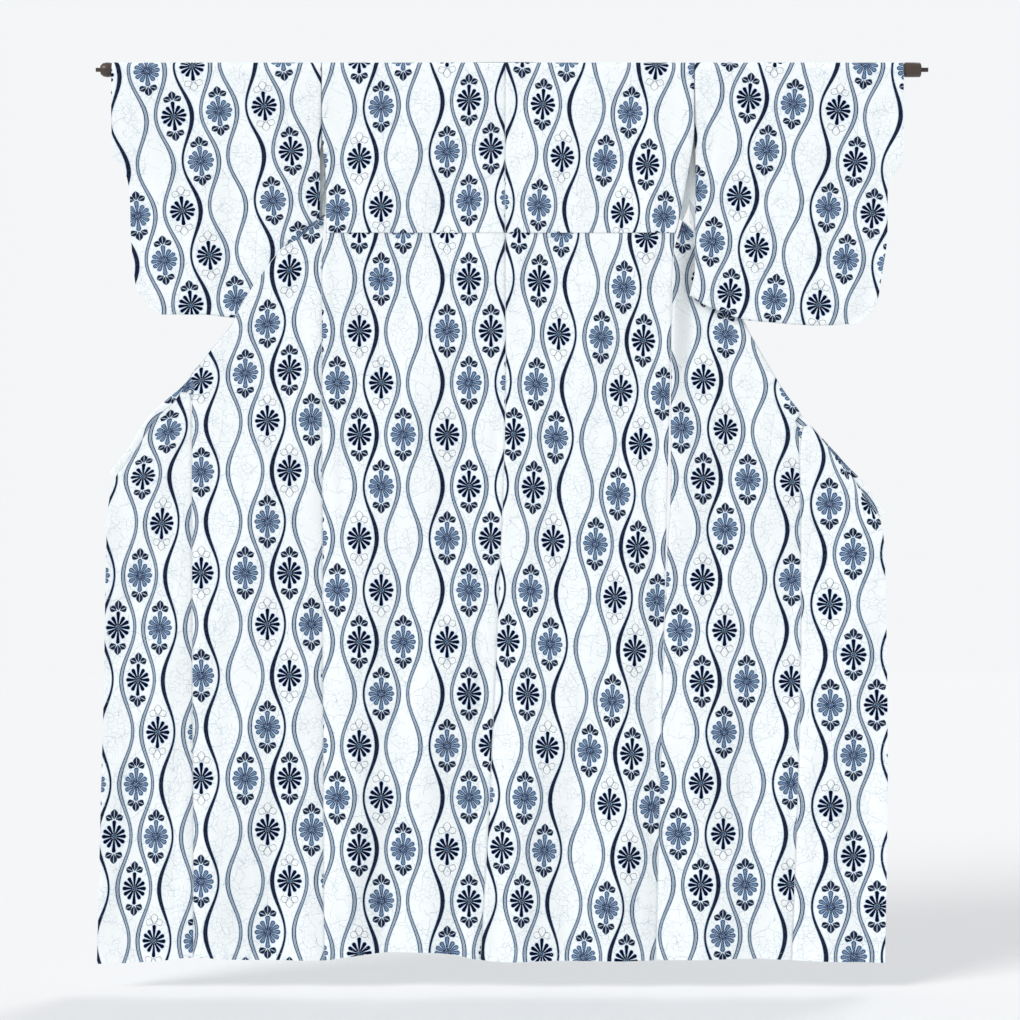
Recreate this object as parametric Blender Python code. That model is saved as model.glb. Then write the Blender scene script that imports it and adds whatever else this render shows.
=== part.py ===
"""A cotton yukata robe hung over a rod, seen from the back with its fronts drawn out to the sides.

Metres, +Z up. The origin is the middle of the rod, X runs along it and -Y is the side that shows
the outside of the back. Left and right are those of someone facing the back. Every cloth piece is a
wall made from a grid of middle points, moved out half its thickness to each side.
"""

import math
from collections import namedtuple

import bpy
import numpy as np

MM = 0.001

# ---- driving dimensions, metres ----------------------------------------------------------------
CLOTH = 0.0015  # a wall's thickness
COLLAR_WALL = 0.0024  # the collar is several layers
SEAM = 0.0006  # between two pieces sewn together
ROD_RADIUS = 0.011
ROD_CLEAR = 0.0004
WRAP = ROD_RADIUS + ROD_CLEAR + CLOTH / 2  # middle of the cloth that lies over the rod
CREST_GAP = 0.0004  # between the two walls that meet on top of the rod
QUARTER_TURN = WRAP * math.pi / 2  # cloth from the crest to the height of the rod's middle
FAR_HANG = 0.0140  # how much a front on the far side leans in, per length of cloth
HEM_ROW = -1.5450  # the height at which edges are read for the row of points along the hem
SLEEVE_HALF_BOTTOM = 0.0042  # half the space between a sleeve's two layers at its bottom
SLEEVE_TAPER_END = -0.2300  # the height at which the layers have come together
SLEEVE_TAPER_POWER = 0.9
LAYER_HALF_GAP = 0.0002  # half the least space between the two layers
SLEEVE_CLEAR = 0.0380  # the right front turns behind its sleeve within this width
MOUTH_LOW = -0.1400  # the sleeve's outer edge is open above this and draws shut below
MOUTH_SHUTS = 0.0550  # over this height
MOUTH_PINCH = 0.0600  # and within this width
BOTTOM_ROLL = 0.0040
BOTTOM_TURNS = (0.0, 0.6, 1.2)  # radians round the roll at the bottom of a sleeve
SLEEVE_READ = -0.4300  # the height at which a sleeve's width is read for its bottom
FRONT_EDGE_LIES = -0.0085  # Y of a front's seam to its okumi, low down
FREE_EDGE_LIES = -0.0070  # Y of an okumi's free edge, low down
LIES_FLAT_BY = 0.71  # share of the way to the hem at which those are reached
OKUMI_OPENS = 0.1000  # an okumi's free edge leaves its seam's line over this height
OPEN_FRONT_FOLDS = (-0.3300, 0.1000)  # folds start below this height, over this height
RIGHT_FRONT_EVENS = (-0.4400, 0.2500)  # the right front's bend is gone below this, over this
LEFT_OKUMI_CORNER = (-0.7040, -0.0094, -0.0086)  # height, Y of the seam there, Y of the free edge
RIGHT_OKUMI_CORNER = (-0.7750, 0.0078, 0.0060)
COLLAR_WRAP = ROD_RADIUS + ROD_CLEAR + COLLAR_WALL / 2 + 0.0012
NECK_MIDDLE = (-0.020, 0.0, 0.012)  # X of the collar's rows at the back of the neck

# Columns and rows of the grids
BACK_COLUMNS = 17
FRONT_COLUMNS = 11
OKUMI_COLUMNS = 6
SLEEVE_COLUMNS = 10
COLLAR_COLUMNS = 6
OKUMI_CORNER_ROW = 7  # rows down the edge that the collar follows
OKUMI_ROWS_BELOW = 11
FRONT_ROWS_BELOW = 13
CREST_LENGTHS = np.array([CREST_GAP / 2, 0.0045, 0.0095, 0.0145, QUARTER_TURN])
FAR_LENGTHS = np.concatenate([CREST_LENGTHS, QUARTER_TURN + np.array([0.04, 0.085, 0.13, 0.165])])
BACK_HEIGHTS = -np.array([
    0.03, 0.08, 0.13, 0.18, 0.23, 0.262, 0.2812, 0.2848, 0.30, 0.345, 0.42, 0.52, 0.62, 0.72,
    0.82, 0.91, 1.0, 1.09, 1.17, 1.25, 1.33, 1.40, 1.46, 1.51,
])
SLEEVE_SHARES = (0.07, 0.15, 0.24, 0.33, 0.37, 0.42, 0.48, 0.57, 0.67, 0.77, 0.86, 0.92, 0.96)

# ---- named tables, millimetres -----------------------------------------------------------------
Edge = namedtuple("Edge", "z x")
Hem = namedtuple("Hem", "x z")
Row = namedtuple("Row", "side_x side_y side_z edge_x edge_y edge_z")
Reach = namedtuple("Reach", "length inner outer behind")
Fold = namedtuple("Fold", "x lean top full half_width depth")
Turn = namedtuple("Turn", "x radius")
Lie = namedtuple("Lie", "z y")

# The back hangs close to the rod's face, with the tuck's step across it
BACK_LINE = [
    Lie(0, -11.6), Lie(-30, -11.7), Lie(-100, -12.2), Lie(-200, -12.6), Lie(-281.2, -12.5),
    Lie(-284.8, -11.3), Lie(-500, -11.1), Lie(-1560, -11.1),
]

CENTRE_SEAM = [
    Edge(20, -5), Edge(-400, -5), Edge(-620, -2), Edge(-780, -7), Edge(-930, -16),
    Edge(-1240, -31), Edge(-1360, -35), Edge(-1560, -49),
]
LEFT_BACK_SIDE = [
    Edge(20, -323.3), Edge(-125, -323.3), Edge(-165, -316.5), Edge(-285, -315.5),
    Edge(-298, -317.5), Edge(-314, -323.2), Edge(-900, -322), Edge(-1560, -319),
]
RIGHT_BACK_SIDE = [
    Edge(20, 323.3), Edge(-125, 323.3), Edge(-170, 314), Edge(-235, 303), Edge(-272, 295),
    Edge(-295, 289), Edge(-315, 287.6), Edge(-435, 283), Edge(-750, 281.5), Edge(-820, 277),
    Edge(-1200, 265), Edge(-1560, 256),
]
LEFT_FAR_SIDE = [Edge(20, -323.3), Edge(-125, -323.3), Edge(-190, -322.3)]
RIGHT_FAR_SIDE = [Edge(20, 323.3), Edge(-125, 323.3), Edge(-190, 320.5)]
# Inner edge of each front on the far side of the rod, by the length of cloth past the crest
LEFT_NECKLINE = [
    Edge(0, -40), Edge(2.5, -68), Edge(9, -90), Edge(19, -104), Edge(60, -136),
    Edge(110, -176), Edge(190, -243), Edge(225, -275),
]
RIGHT_NECKLINE = [
    Edge(0, 28), Edge(2.5, 56), Edge(9, 78), Edge(19, 92), Edge(60, 124),
    Edge(110, 163), Edge(190, 228), Edge(225, 260),
]
# Below the shoulder each front is gathered, turns over in the slit under the arm and opens
# outwards. A row runs from the side of the cloth to its front edge. The left front comes before
# the sleeve and the right one stays behind it.
LEFT_FRONT = [
    Row(-322.3, 9.8, -190, -262, 9.8, -190),
    Row(-321.6, 9.2, -218, -286, 9.2, -218),
    Row(-321.2, 8.6, -238, -304, 7.6, -237),
    Row(-320.8, 7.2, -250, -314, 1.5, -248),
    Row(-320.4, 4.6, -260, -320.5, -6.5, -257),
    Row(-320.2, 0.0, -270, -330, -10.8, -267),
    Row(-320.6, -5.6, -282, -346, -11.4, -281),
    Row(-321.8, -9.8, -297, -362, -11.4, -297),
    Row(-323.8, -11.4, -318, -388, -11.4, -318),
    Row(-323.8, -11.5, -345, -410, -11.3, -345),
    Row(-323.8, -11.4, -375, -432, -11.1, -375),
    Row(-323.8, -11.3, -410, -454, -10.8, -410),
    Row(-323.7, -11.1, -455, -477, -10.3, -455),
    Row(-323.6, -11.0, -497, -508, -9.8, -497),
    Row(-323.5, -10.9, -543, -542, -9.4, -543),
]
RIGHT_FRONT = [
    Row(320.5, 9.8, -190, 247, 10.2, -190),
    Row(316.8, 9.0, -216, 265, 10.4, -216),
    Row(312.5, 6.5, -236, 281, 10.8, -236),
    Row(307.5, 2.5, -252, 294, 11.4, -251),
    Row(303.0, -2.0, -265, 306, 12.0, -263),
    Row(298.5, -5.8, -279, 319, 12.6, -277),
    Row(293.0, -9.0, -297, 334, 12.9, -295),
    Row(288.2, -10.9, -319, 348, 12.9, -317),
    Row(287.5, -11.3, -350, 364, 12.8, -350),
    Row(285.8, -11.4, -392, 384, 12.4, -392),
    Row(283.8, -11.3, -440, 404, 11.6, -440),
    Row(283.4, -11.2, -495, 432, 10.4, -495),
    Row(283.0, -11.1, -550, 462, 9.0, -550),
    Row(282.6, -11.0, -605, 500, 7.8, -605),
]
LEFT_OKUMI_SEAM = [Edge(-540, -549.5), Edge(-900, -549), Edge(-1300, -547), Edge(-1560, -546)]
RIGHT_OKUMI_SEAM = [Edge(-600, 507), Edge(-900, 510), Edge(-1300, 502), Edge(-1560, 492)]
# Free edge of each okumi, from its point under the collar to the hem
LEFT_FREE_EDGE = [
    Edge(-558, -553.5), Edge(-584, -585), Edge(-608, -611), Edge(-639, -632), Edge(-669, -651),
    Edge(-704, -679), Edge(-720, -688), Edge(-831, -697.5), Edge(-921, -699.5),
    Edge(-1100, -703), Edge(-1300, -708), Edge(-1460, -712), Edge(-1560, -715),
]
RIGHT_FREE_EDGE = [
    Edge(-618, 511.5), Edge(-657, 546), Edge(-690, 576), Edge(-718, 603), Edge(-752, 628),
    Edge(-775, 645), Edge(-800, 652), Edge(-900, 657), Edge(-1200, 660), Edge(-1560, 655),
]
HEM = [
    Hem(-720, -1555), Hem(-647, -1553), Hem(-585, -1547), Hem(-548, -1543), Hem(-468, -1547),
    Hem(-379, -1548), Hem(-318, -1548), Hem(-296, -1544), Hem(-247, -1538), Hem(-190, -1534),
    Hem(-140, -1534), Hem(-92, -1539), Hem(-57, -1546), Hem(-9, -1551), Hem(77, -1549),
    Hem(216, -1549), Hem(300, -1547), Hem(420, -1546), Hem(520, -1549), Hem(680, -1554),
]
LEFT_SLEEVE_INNER = [Edge(20, -324.2), Edge(-120, -324.2), Edge(-150, -327), Edge(-450, -327)]
LEFT_SLEEVE_OUTER = [
    Edge(20, -687), Edge(-36, -689), Edge(-149, -687), Edge(-175, -668), Edge(-210, -659),
    Edge(-288, -656), Edge(-349, -651), Edge(-384, -645), Edge(-401, -635), Edge(-418, -616),
    Edge(-426, -602), Edge(-450, -590),
]
RIGHT_SLEEVE_INNER = [
    Edge(20, 324.2), Edge(-120, 324.2), Edge(-150, 326), Edge(-350, 325), Edge(-394, 316),
    Edge(-450, 312),
]
RIGHT_SLEEVE_OUTER = [
    Edge(20, 687), Edge(-149, 687), Edge(-175, 679), Edge(-196, 661), Edge(-288, 660),
    Edge(-360, 650), Edge(-400, 643), Edge(-422, 633), Edge(-441, 609), Edge(-450, 596),
]
SLEEVE_BOTTOM = [
    Hem(-700, -426), Hem(-527, -426), Hem(-501, -429), Hem(-470, -432), Hem(-320, -433),
    Hem(315, -394), Hem(334, -406), Hem(358, -417), Hem(405, -433), Hem(470, -440),
    Hem(560, -445), Hem(610, -443), Hem(700, -441),
]
# The collar follows each front's edge. By the length along that edge from the slit under the arm,
# down the open front (+) or up to the neck (-): how far it reaches inwards of the edge (-) or starts
# past it, how far outwards, and how far it lies behind the front
COLLAR_REACH = [
    Reach(-380, 0.6, 34, 0), Reach(-110, 0.6, 30, 0), Reach(-40, 0.7, 16, 0), Reach(-12, 0.8, 7, 0),
    Reach(0, 0.8, 5, 0), Reach(14, 0.8, 6, 0.8), Reach(40, 0.8, 7, 1.6), Reach(100, 0.8, 8, 2.8),
    Reach(160, -10, 8, 2.8), Reach(230, -17, 9, 2.8), Reach(330, -18, 13, 2.8),
    Reach(700, -18, 13, 2.8),
]
Half = namedtuple("Half", "back_side far_side neckline front okumi_seam free_edge okumi_corner")
LEFT_HALF = Half(LEFT_BACK_SIDE, LEFT_FAR_SIDE, LEFT_NECKLINE, LEFT_FRONT, LEFT_OKUMI_SEAM,
                 LEFT_FREE_EDGE, LEFT_OKUMI_CORNER)
RIGHT_HALF = Half(RIGHT_BACK_SIDE, RIGHT_FAR_SIDE, RIGHT_NECKLINE, RIGHT_FRONT, RIGHT_OKUMI_SEAM,
                  RIGHT_FREE_EDGE, RIGHT_OKUMI_CORNER)
# Soft troughs (+) and ridges (-) of the hanging cloth: where, how far it leans by the hem, where it
# starts and is full, how wide and how deep
FOLDS = [
    Fold(-640, -10, -900, -1350, 34, 5.0),
    Fold(-598, -4, -760, -1200, 24, -3.4),
    Fold(-548, 2, -620, -1000, 13, 3.2),
    Fold(-500, -6, -980, -1450, 40, -5.2),
    Fold(-412, 8, -840, -1300, 30, 4.0),
    Fold(-323, 3, -330, -620, 11, 2.6),
    Fold(-268, -12, -700, -1400, 34, -6.4),
    Fold(-196, -18, -900, -1500, 30, 6.2),
    Fold(-120, -20, -640, -1250, 26, -4.6),
    Fold(-60, -30, -1020, -1500, 20, 5.4),
    Fold(-4, -44, -420, -980, 9, 2.0),
    Fold(52, -36, -760, -1300, 26, -5.6),
    Fold(128, -30, -940, -1480, 30, 5.0),
    Fold(206, -26, -700, -1420, 32, -5.0),
    Fold(281, -25, -470, -760, 12, 3.0),
    Fold(352, -22, -900, -1400, 34, -5.6),
    Fold(430, -16, -760, -1350, 28, 4.4),
    Fold(508, -14, -660, -1050, 13, 3.0),
    Fold(566, -10, -980, -1450, 30, -4.8),
    Fold(622, -4, -860, -1380, 24, 3.6),
]
ROD_PROFILE = [
    Turn(-717, 3.6), Turn(-709, 3.6), Turn(-708.5, 8.0), Turn(-704, 11.6), Turn(-697, 12.9),
    Turn(-690, 12.0), Turn(-688.5, ROD_RADIUS / MM), Turn(690, ROD_RADIUS / MM),
    Turn(690.5, 12.8), Turn(716, 12.8), Turn(718, 11.4), Turn(718.4, 3.8), Turn(731, 3.8),
]
ROD_SIDES = 20
SHARP = math.radians(40)  # steeper edges than this are not smoothed over

COTTON = ("Cotton", (0.86, 0.90, 0.92, 1.0), 0.85)
LACQUER = ("Black lacquer", (0.025, 0.018, 0.015, 1.0), 0.25)


# ---- curves and fields --------------------------------------------------------------------------
def curve(xs, ys, at):
    """A smooth curve through the points, by cubics whose slope at a point is its neighbours'."""
    order = np.argsort(xs)
    xs, ys = np.asarray(xs, float)[order], np.asarray(ys, float)[order]
    rise = np.diff(ys) / np.diff(xs)
    slope = np.concatenate([rise[:1], (rise[1:] + rise[:-1]) / 2, rise[-1:]])
    flat = np.concatenate([[False], rise[1:] * rise[:-1] <= 0, [False]])
    slope[flat] = 0
    steep = np.concatenate([[np.inf], 3 * np.minimum(abs(rise[1:]), abs(rise[:-1])), [np.inf]])
    slope = np.sign(slope) * np.minimum(abs(slope), steep)
    at = np.clip(np.asarray(at, float), xs[0], xs[-1])
    i = np.clip(np.searchsorted(xs, at, side="right") - 1, 0, len(xs) - 2)
    width = xs[i + 1] - xs[i]
    t = (at - xs[i]) / width
    return (
        (1 + 2 * t) * (1 - t) ** 2 * ys[i]
        + t * (1 - t) ** 2 * width * slope[i]
        + t**2 * (3 - 2 * t) * ys[i + 1]
        + t**2 * (t - 1) * width * slope[i + 1]
    )


def edge_at(table, z):
    """X in metres of an edge table at heights z in metres."""
    return curve([e.z for e in table], [e.x for e in table], np.asarray(z) / MM) * MM


def hem_at(table, x):
    """Height in metres of a hem table at places x in metres."""
    return curve([h.x for h in table], [h.z for h in table], np.asarray(x) / MM) * MM


def soft_step(t):
    t = np.clip(t, 0, 1)
    return t * t * (3 - 2 * t)


def folds_at(x, z):
    """How far the folds move the hanging cloth in Y: troughs go away from the viewer."""
    y = np.zeros(np.broadcast(x, z).shape)
    for fold in FOLDS:
        grown = soft_step((fold.top * MM - z) / ((fold.top - fold.full) * MM))
        at = (fold.x + fold.lean * grown) * MM
        y += fold.depth * MM * grown * np.exp(-(((x - at) / (fold.half_width * MM)) ** 2))
    return y


def back_line(z):
    """Y of the middle of the back where it has no folds."""
    return curve([lie.z for lie in BACK_LINE], [lie.y for lie in BACK_LINE], np.asarray(z) / MM) * MM


def over_rod(x, length, side, hang, radius=WRAP):
    """A point that lies `length` of cloth past the crest, on the rod's +Y or -Y side."""
    length = np.broadcast_to(length, np.shape(x))
    turn = np.clip(length / WRAP, 0, math.pi / 2)
    below = np.maximum(length - QUARTER_TURN, 0)
    y = side * (radius * np.sin(turn)) - side * hang * below
    return np.stack([x, y, radius * np.cos(turn) - below], -1)



# ---- grids --------------------------------------------------------------------------------------
def back_panel(side_table, sign):
    """Half of the back, from the crest of the rod to the hem. Rows go down, columns to the centre."""
    across = np.linspace(0, 1, BACK_COLUMNS)

    def row_x(z):
        side = edge_at(side_table, z)
        centre = edge_at(CENTRE_SEAM, z) + sign * SEAM / 2
        return side + (centre - side) * across

    rows = [over_rod(row_x(0.0), length, -1, 0.0) for length in CREST_LENGTHS]
    for height in np.append(BACK_HEIGHTS, HEM_ROW):
        x = row_x(height)
        z = hem_at(HEM, x) if height == HEM_ROW else np.full_like(x, height)
        rows.append(np.stack([x, back_line(z) + folds_at(x, z), z], -1))
    return np.array(rows)


def through(rows, count):
    """Rows of Row tables, read from smooth curves through them."""
    step = np.linspace(0, len(rows) - 1, count)
    return np.stack([curve(range(len(rows)), column, step) * MM for column in zip(*rows)], -1)


def settle(start, end, t):
    """A depth that goes softly from start to end as t runs down to the hem."""
    return start + (end - start) * soft_step(t / LIES_FLAT_BY)


def front_panel(tables, sign):
    """A front, from the crest down the far side, past the slit under the arm, to the hem."""
    across = np.linspace(0, 1, FRONT_COLUMNS)
    rows = []
    for length in FAR_LENGTHS:
        side = float(edge_at(tables.far_side, min(0.0, QUARTER_TURN - length)))
        inner = float(edge_at(tables.neckline, length))
        rows.append(over_rod(side + (inner - side) * across, length, 1, FAR_HANG))
    for s_x, s_y, s_z, e_x, e_y, e_z in through(tables.front, 2 * len(tables.front) - 1):
        rise = across
        if sign > 0:
            width = abs(e_x - s_x)
            evens_at, evens_over = RIGHT_FRONT_EVENS
            bent = soft_step((width - SLEEVE_CLEAR) / SLEEVE_CLEAR)
            bent *= 1 - soft_step((evens_at - s_z) / evens_over)
            rise = across + bent * (soft_step(across * width / SLEEVE_CLEAR) - across)
        x = s_x + (e_x - s_x) * across
        z = s_z + (e_z - s_z) * across
        folds_start, folds_over = OPEN_FRONT_FOLDS
        folded = folds_at(x, z) * soft_step((folds_start - z) / folds_over)
        rows.append(np.stack([x, s_y + (e_y - s_y) * rise + folded, z], -1))
    start = tables.front[-1]
    top = start.side_z * MM
    ease = start.side_y * MM - back_line(top)
    for t in np.linspace(0, 1, FRONT_ROWS_BELOW + 1)[1:]:
        z = top + (HEM_ROW - top) * t
        side = float(edge_at(tables.back_side, z)) + sign * SEAM
        seam = float(edge_at(tables.okumi_seam, z))
        x = side + (seam - side) * across
        zs = hem_at(HEM, x) if t == 1 else np.full_like(x, z)
        side_y = back_line(z) + ease * (1 - t)
        y = side_y + (settle(start.edge_y * MM, FRONT_EDGE_LIES, t) - side_y) * across
        rows.append(np.stack([x, y + folds_at(x, zs), zs], -1))
    return np.array(rows)


def okumi_panel(tables, sign):
    """The narrow panel sewn to a front, from its point under the collar to the hem."""
    across = np.linspace(0, 1, OKUMI_COLUMNS)
    top = tables.free_edge[0].z * MM
    corner, seam_y, free_y = tables.okumi_corner
    rows = []
    for z in np.concatenate([
        np.linspace(top, corner, OKUMI_CORNER_ROW + 1),
        np.linspace(corner, HEM_ROW, OKUMI_ROWS_BELOW + 1)[1:],
    ]):
        seam = float(edge_at(tables.okumi_seam, z)) + sign * SEAM
        x = seam + (float(edge_at(tables.free_edge, z)) - seam) * across
        zs = hem_at(HEM, x) if z == HEM_ROW else np.full_like(x, z)
        t = (z - top) / (HEM_ROW - top)
        at_seam, at_free = settle(seam_y, FRONT_EDGE_LIES, t), settle(free_y, FREE_EDGE_LIES, t)
        y = at_seam + (at_free - at_seam) * across * soft_step((top - z) / OKUMI_OPENS)
        rows.append(np.stack([x, y + folds_at(x, zs), zs], -1))
    return np.array(rows)


def sleeve_layer(inner, outer, side):
    """One layer of a sleeve, from the crest of the rod to the seam at its bottom."""
    across = np.linspace(0, 1, SLEEVE_COLUMNS)
    low_in, low_out = float(edge_at(inner, SLEEVE_READ)), float(edge_at(outer, SLEEVE_READ))
    bottom = hem_at(SLEEVE_BOTTOM, low_in + (low_out - low_in) * across)
    top_in, top_out = float(edge_at(inner, 0.0)), float(edge_at(outer, 0.0))
    top = top_in + (top_out - top_in) * across
    rows = [over_rod(top, length, side, 0.0) for length in CREST_LENGTHS]
    for share in SLEEVE_SHARES:
        z = bottom * share
        rows.append(sleeve_row(inner, outer, side, across, z, half_space(z)))
    for turn in BOTTOM_TURNS:
        z = bottom + BOTTOM_ROLL * (1 - math.sin(turn))
        half = half_space(z) * math.cos(turn)
        rows.append(sleeve_row(inner, outer, side, across, z, half))
    return np.array(rows)


def half_space(z):
    """Half the space between a sleeve's layers at a height."""
    taken_in = np.clip(z / SLEEVE_TAPER_END, 0, 1) ** SLEEVE_TAPER_POWER
    return WRAP + (SLEEVE_HALF_BOTTOM - WRAP) * taken_in


def sleeve_row(inner, outer, side, across, z, half):
    """A row of a sleeve layer, which meets the other one at the seam under the mouth."""
    start, end = edge_at(inner, z), edge_at(outer, z)
    x = start + (end - start) * across
    sewn = soft_step((MOUTH_LOW - z) / MOUTH_SHUTS)
    shut = 1 - sewn * (1 - soft_step(abs(end - x) / MOUTH_PINCH))
    y = side * np.maximum(half * shut, CLOTH / 2 + LAYER_HALF_GAP)
    return np.stack([x, y, z], -1)


def neck_rows(left, right):
    """Rows across the collar round the back of the neck, on the far side, between the fronts."""
    fronts = [[(float(edge_at(line, a)), a) for a in FAR_LENGTHS] for line in (left, right)]
    middle = [(x, CREST_GAP / 2) for x in NECK_MIDDLE]
    path = np.array(fronts[0][::-1] + middle + fronts[1])
    way = np.diff(path, axis=0)
    way /= np.linalg.norm(way, axis=1, keepdims=True)
    way = np.concatenate([way[:1], way[1:] + way[:-1], way[-1:]])
    way[1:-1] = way[1:-1] * 2 + way[:-2] + way[2:]
    way /= np.linalg.norm(way, axis=1, keepdims=True)
    out = np.stack([-way[:, 1], way[:, 0]], -1)
    widths = [reach.outer for reach in COLLAR_REACH]
    rows = []
    for point, outwards in zip(path[1:-1], out[1:-1]):
        reach = np.linspace(2 * SEAM, widths[0] * MM, COLLAR_COLUMNS)[:, None]
        at = point + outwards * reach
        rows.append(over_rod(at[:, 0], np.maximum(at[:, 1], SEAM), 1, FAR_HANG, COLLAR_WRAP))
    return rows


def collar_side(front, okumi, table, sign):
    """Rows across the collar along a front's edge and then its okumi's, from the neck to the corner.

    The band points away from the cloth: the way each row of the front runs, less its part along
    the edge. It lies on the wrong side of the cloth, which is that way turned round the edge.
    """
    first, last = len(FAR_LENGTHS) - 1, len(FAR_LENGTHS) + 2 * len(table) - 1
    edge = np.concatenate([front[first:last, -1], okumi[1:OKUMI_CORNER_ROW + 1, -1]])
    inside = np.concatenate([front[first:last, -3], okumi[1:OKUMI_CORNER_ROW + 1, 0]])
    outwards = edge - inside
    outwards /= np.linalg.norm(outwards, axis=1, keepdims=True)
    way = np.gradient(edge, axis=0)
    way /= np.linalg.norm(way, axis=1, keepdims=True)
    outwards -= way * (outwards * way).sum(1, keepdims=True)
    outwards /= np.linalg.norm(outwards, axis=1, keepdims=True)
    wrong_side = -sign * np.cross(way, outwards)
    gone = np.concatenate([[0], np.cumsum(np.linalg.norm(np.diff(edge, axis=0), axis=1))])
    turned = int(np.argmin(abs(front[first:last, -1, 0] - front[first:last, 0, 0])))
    lengths = [r.length for r in COLLAR_REACH]
    inner, outer, behind = (
        curve(lengths, [r[k] for r in COLLAR_REACH], (gone - gone[turned]) / MM) * MM
        for k in (1, 2, 3)
    )
    rows = []
    for i in range(len(edge)):
        reach = np.linspace(inner[i], outer[i], COLLAR_COLUMNS)[:, None]
        rows.append(edge[i] + outwards[i] * reach + wrong_side[i] * behind[i])
    return rows


def collar_grid(fronts, okumis):
    """The whole band, from the left corner up, round the back of the neck and down to the right."""
    left = collar_side(fronts[0], okumis[0], LEFT_FRONT, -1)
    right = collar_side(fronts[1], okumis[1], RIGHT_FRONT, 1)
    return np.array(left[::-1] + neck_rows(LEFT_NECKLINE, RIGHT_NECKLINE) + right)


# ---- solids -------------------------------------------------------------------------------------
def wall(grid, thickness):
    """Points and faces of a closed wall round a grid of middle points."""
    down, along = np.gradient(grid, axis=0), np.gradient(grid, axis=1)
    normal = np.cross(down, along)
    normal /= np.linalg.norm(normal, axis=-1, keepdims=True)
    rows, columns = grid.shape[:2]
    skins = [grid + normal * thickness / 2, grid - normal * thickness / 2]
    points = np.concatenate([skin.reshape(-1, 3) for skin in skins])
    index = np.arange(rows * columns).reshape(rows, columns)
    corners = [index[:-1, :-1], index[1:, :-1], index[1:, 1:], index[:-1, 1:]]
    quads = np.stack(corners, -1).reshape(-1, 4)
    rim = np.concatenate([index[0, :-1], index[:-1, -1], index[-1, :0:-1], index[:0:-1, 0]])
    after = np.roll(rim, -1)
    under = rows * columns
    sides = np.stack([rim, after, after + under, rim + under], -1)
    return points, np.concatenate([quads, quads[:, ::-1] + under, sides])


def volume(points, faces):
    a, b, c, d = (points[faces[:, k]] for k in range(4))
    return (np.cross(a, b) * c).sum() + (np.cross(a, c) * d).sum()


def material(name, colour, roughness):
    found = bpy.data.materials.new(name)
    found.use_nodes = True
    shader = found.node_tree.nodes["Principled BSDF"]
    shader.inputs["Base Color"].default_value = colour
    shader.inputs["Roughness"].default_value = roughness
    found.diffuse_color = colour
    return found


def add_object(name, points, faces, finish):
    mesh = bpy.data.meshes.new(name)
    mesh.from_pydata([tuple(p) for p in points], [], [tuple(int(i) for i in f) for f in faces])
    mesh.materials.append(material(name + " " + finish[0].lower(), *finish[1:]))
    mesh.validate()
    mesh.shade_smooth()
    mesh.set_sharp_from_angle(angle=SHARP)
    bpy.context.scene.collection.objects.link(bpy.data.objects.new(name, mesh))


def add_cloth(name, grid, thickness=CLOTH):
    points, faces = wall(grid, thickness)
    if volume(points, faces) < 0:
        faces = faces[:, ::-1]
    add_object(name, points, faces, COTTON)


def add_rod():
    """The rod and its turned ends, as one profile spun round X."""
    turns = np.arange(ROD_SIDES) * 2 * math.pi / ROD_SIDES
    rings = [
        [(t.x * MM, t.radius * MM * math.cos(a), t.radius * MM * math.sin(a)) for a in turns]
        for t in ROD_PROFILE
    ]
    points = [p for ring in rings for p in ring]
    n = ROD_SIDES
    faces = [
        (i * n + j, (i + 1) * n + j, (i + 1) * n + (j + 1) % n, i * n + (j + 1) % n)
        for i in range(len(rings) - 1) for j in range(n)
    ]
    last = (len(rings) - 1) * n
    ends = [tuple(range(n)), tuple(last + j for j in reversed(range(n)))]
    add_object("rod", points, [face[::-1] for face in faces + ends], LACQUER)


def main():
    for thing in list(bpy.data.objects):
        bpy.data.objects.remove(thing, do_unlink=True)
    add_rod()
    add_cloth("back_left", back_panel(LEFT_BACK_SIDE, -1))
    add_cloth("back_right", back_panel(RIGHT_BACK_SIDE, 1))
    fronts = [front_panel(LEFT_HALF, -1), front_panel(RIGHT_HALF, 1)]
    okumis = [okumi_panel(LEFT_HALF, -1), okumi_panel(RIGHT_HALF, 1)]
    for side, front, okumi in zip(("left", "right"), fronts, okumis):
        add_cloth("front_" + side, front)
        add_cloth("okumi_" + side, okumi)
    for name, inner, outer in (
        ("sleeve_left", LEFT_SLEEVE_INNER, LEFT_SLEEVE_OUTER),
        ("sleeve_right", RIGHT_SLEEVE_INNER, RIGHT_SLEEVE_OUTER),
    ):
        add_cloth(name + "_back", sleeve_layer(inner, outer, -1))
        add_cloth(name + "_front", sleeve_layer(inner, outer, 1))
    add_cloth("collar", collar_grid(fronts, okumis), COLLAR_WALL)


main()
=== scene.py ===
"""The looks of a cotton yukata robe that hangs over a rod, with its back outwards.

The sizes below are the sewing pattern of the solids. Each piece of cloth is a thin shell on its
solid's form, with finer folds, seams and hems. The print is one chart of the bolt of cloth, drawn
by formula, and each piece says with a Chart where on the bolt it was cut.

Metres, +Z up. X runs along the rod, and -Y is the side that shows the outside of the back. Left and
right are those of someone facing the back. Tables are in millimetres.
"""

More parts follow.
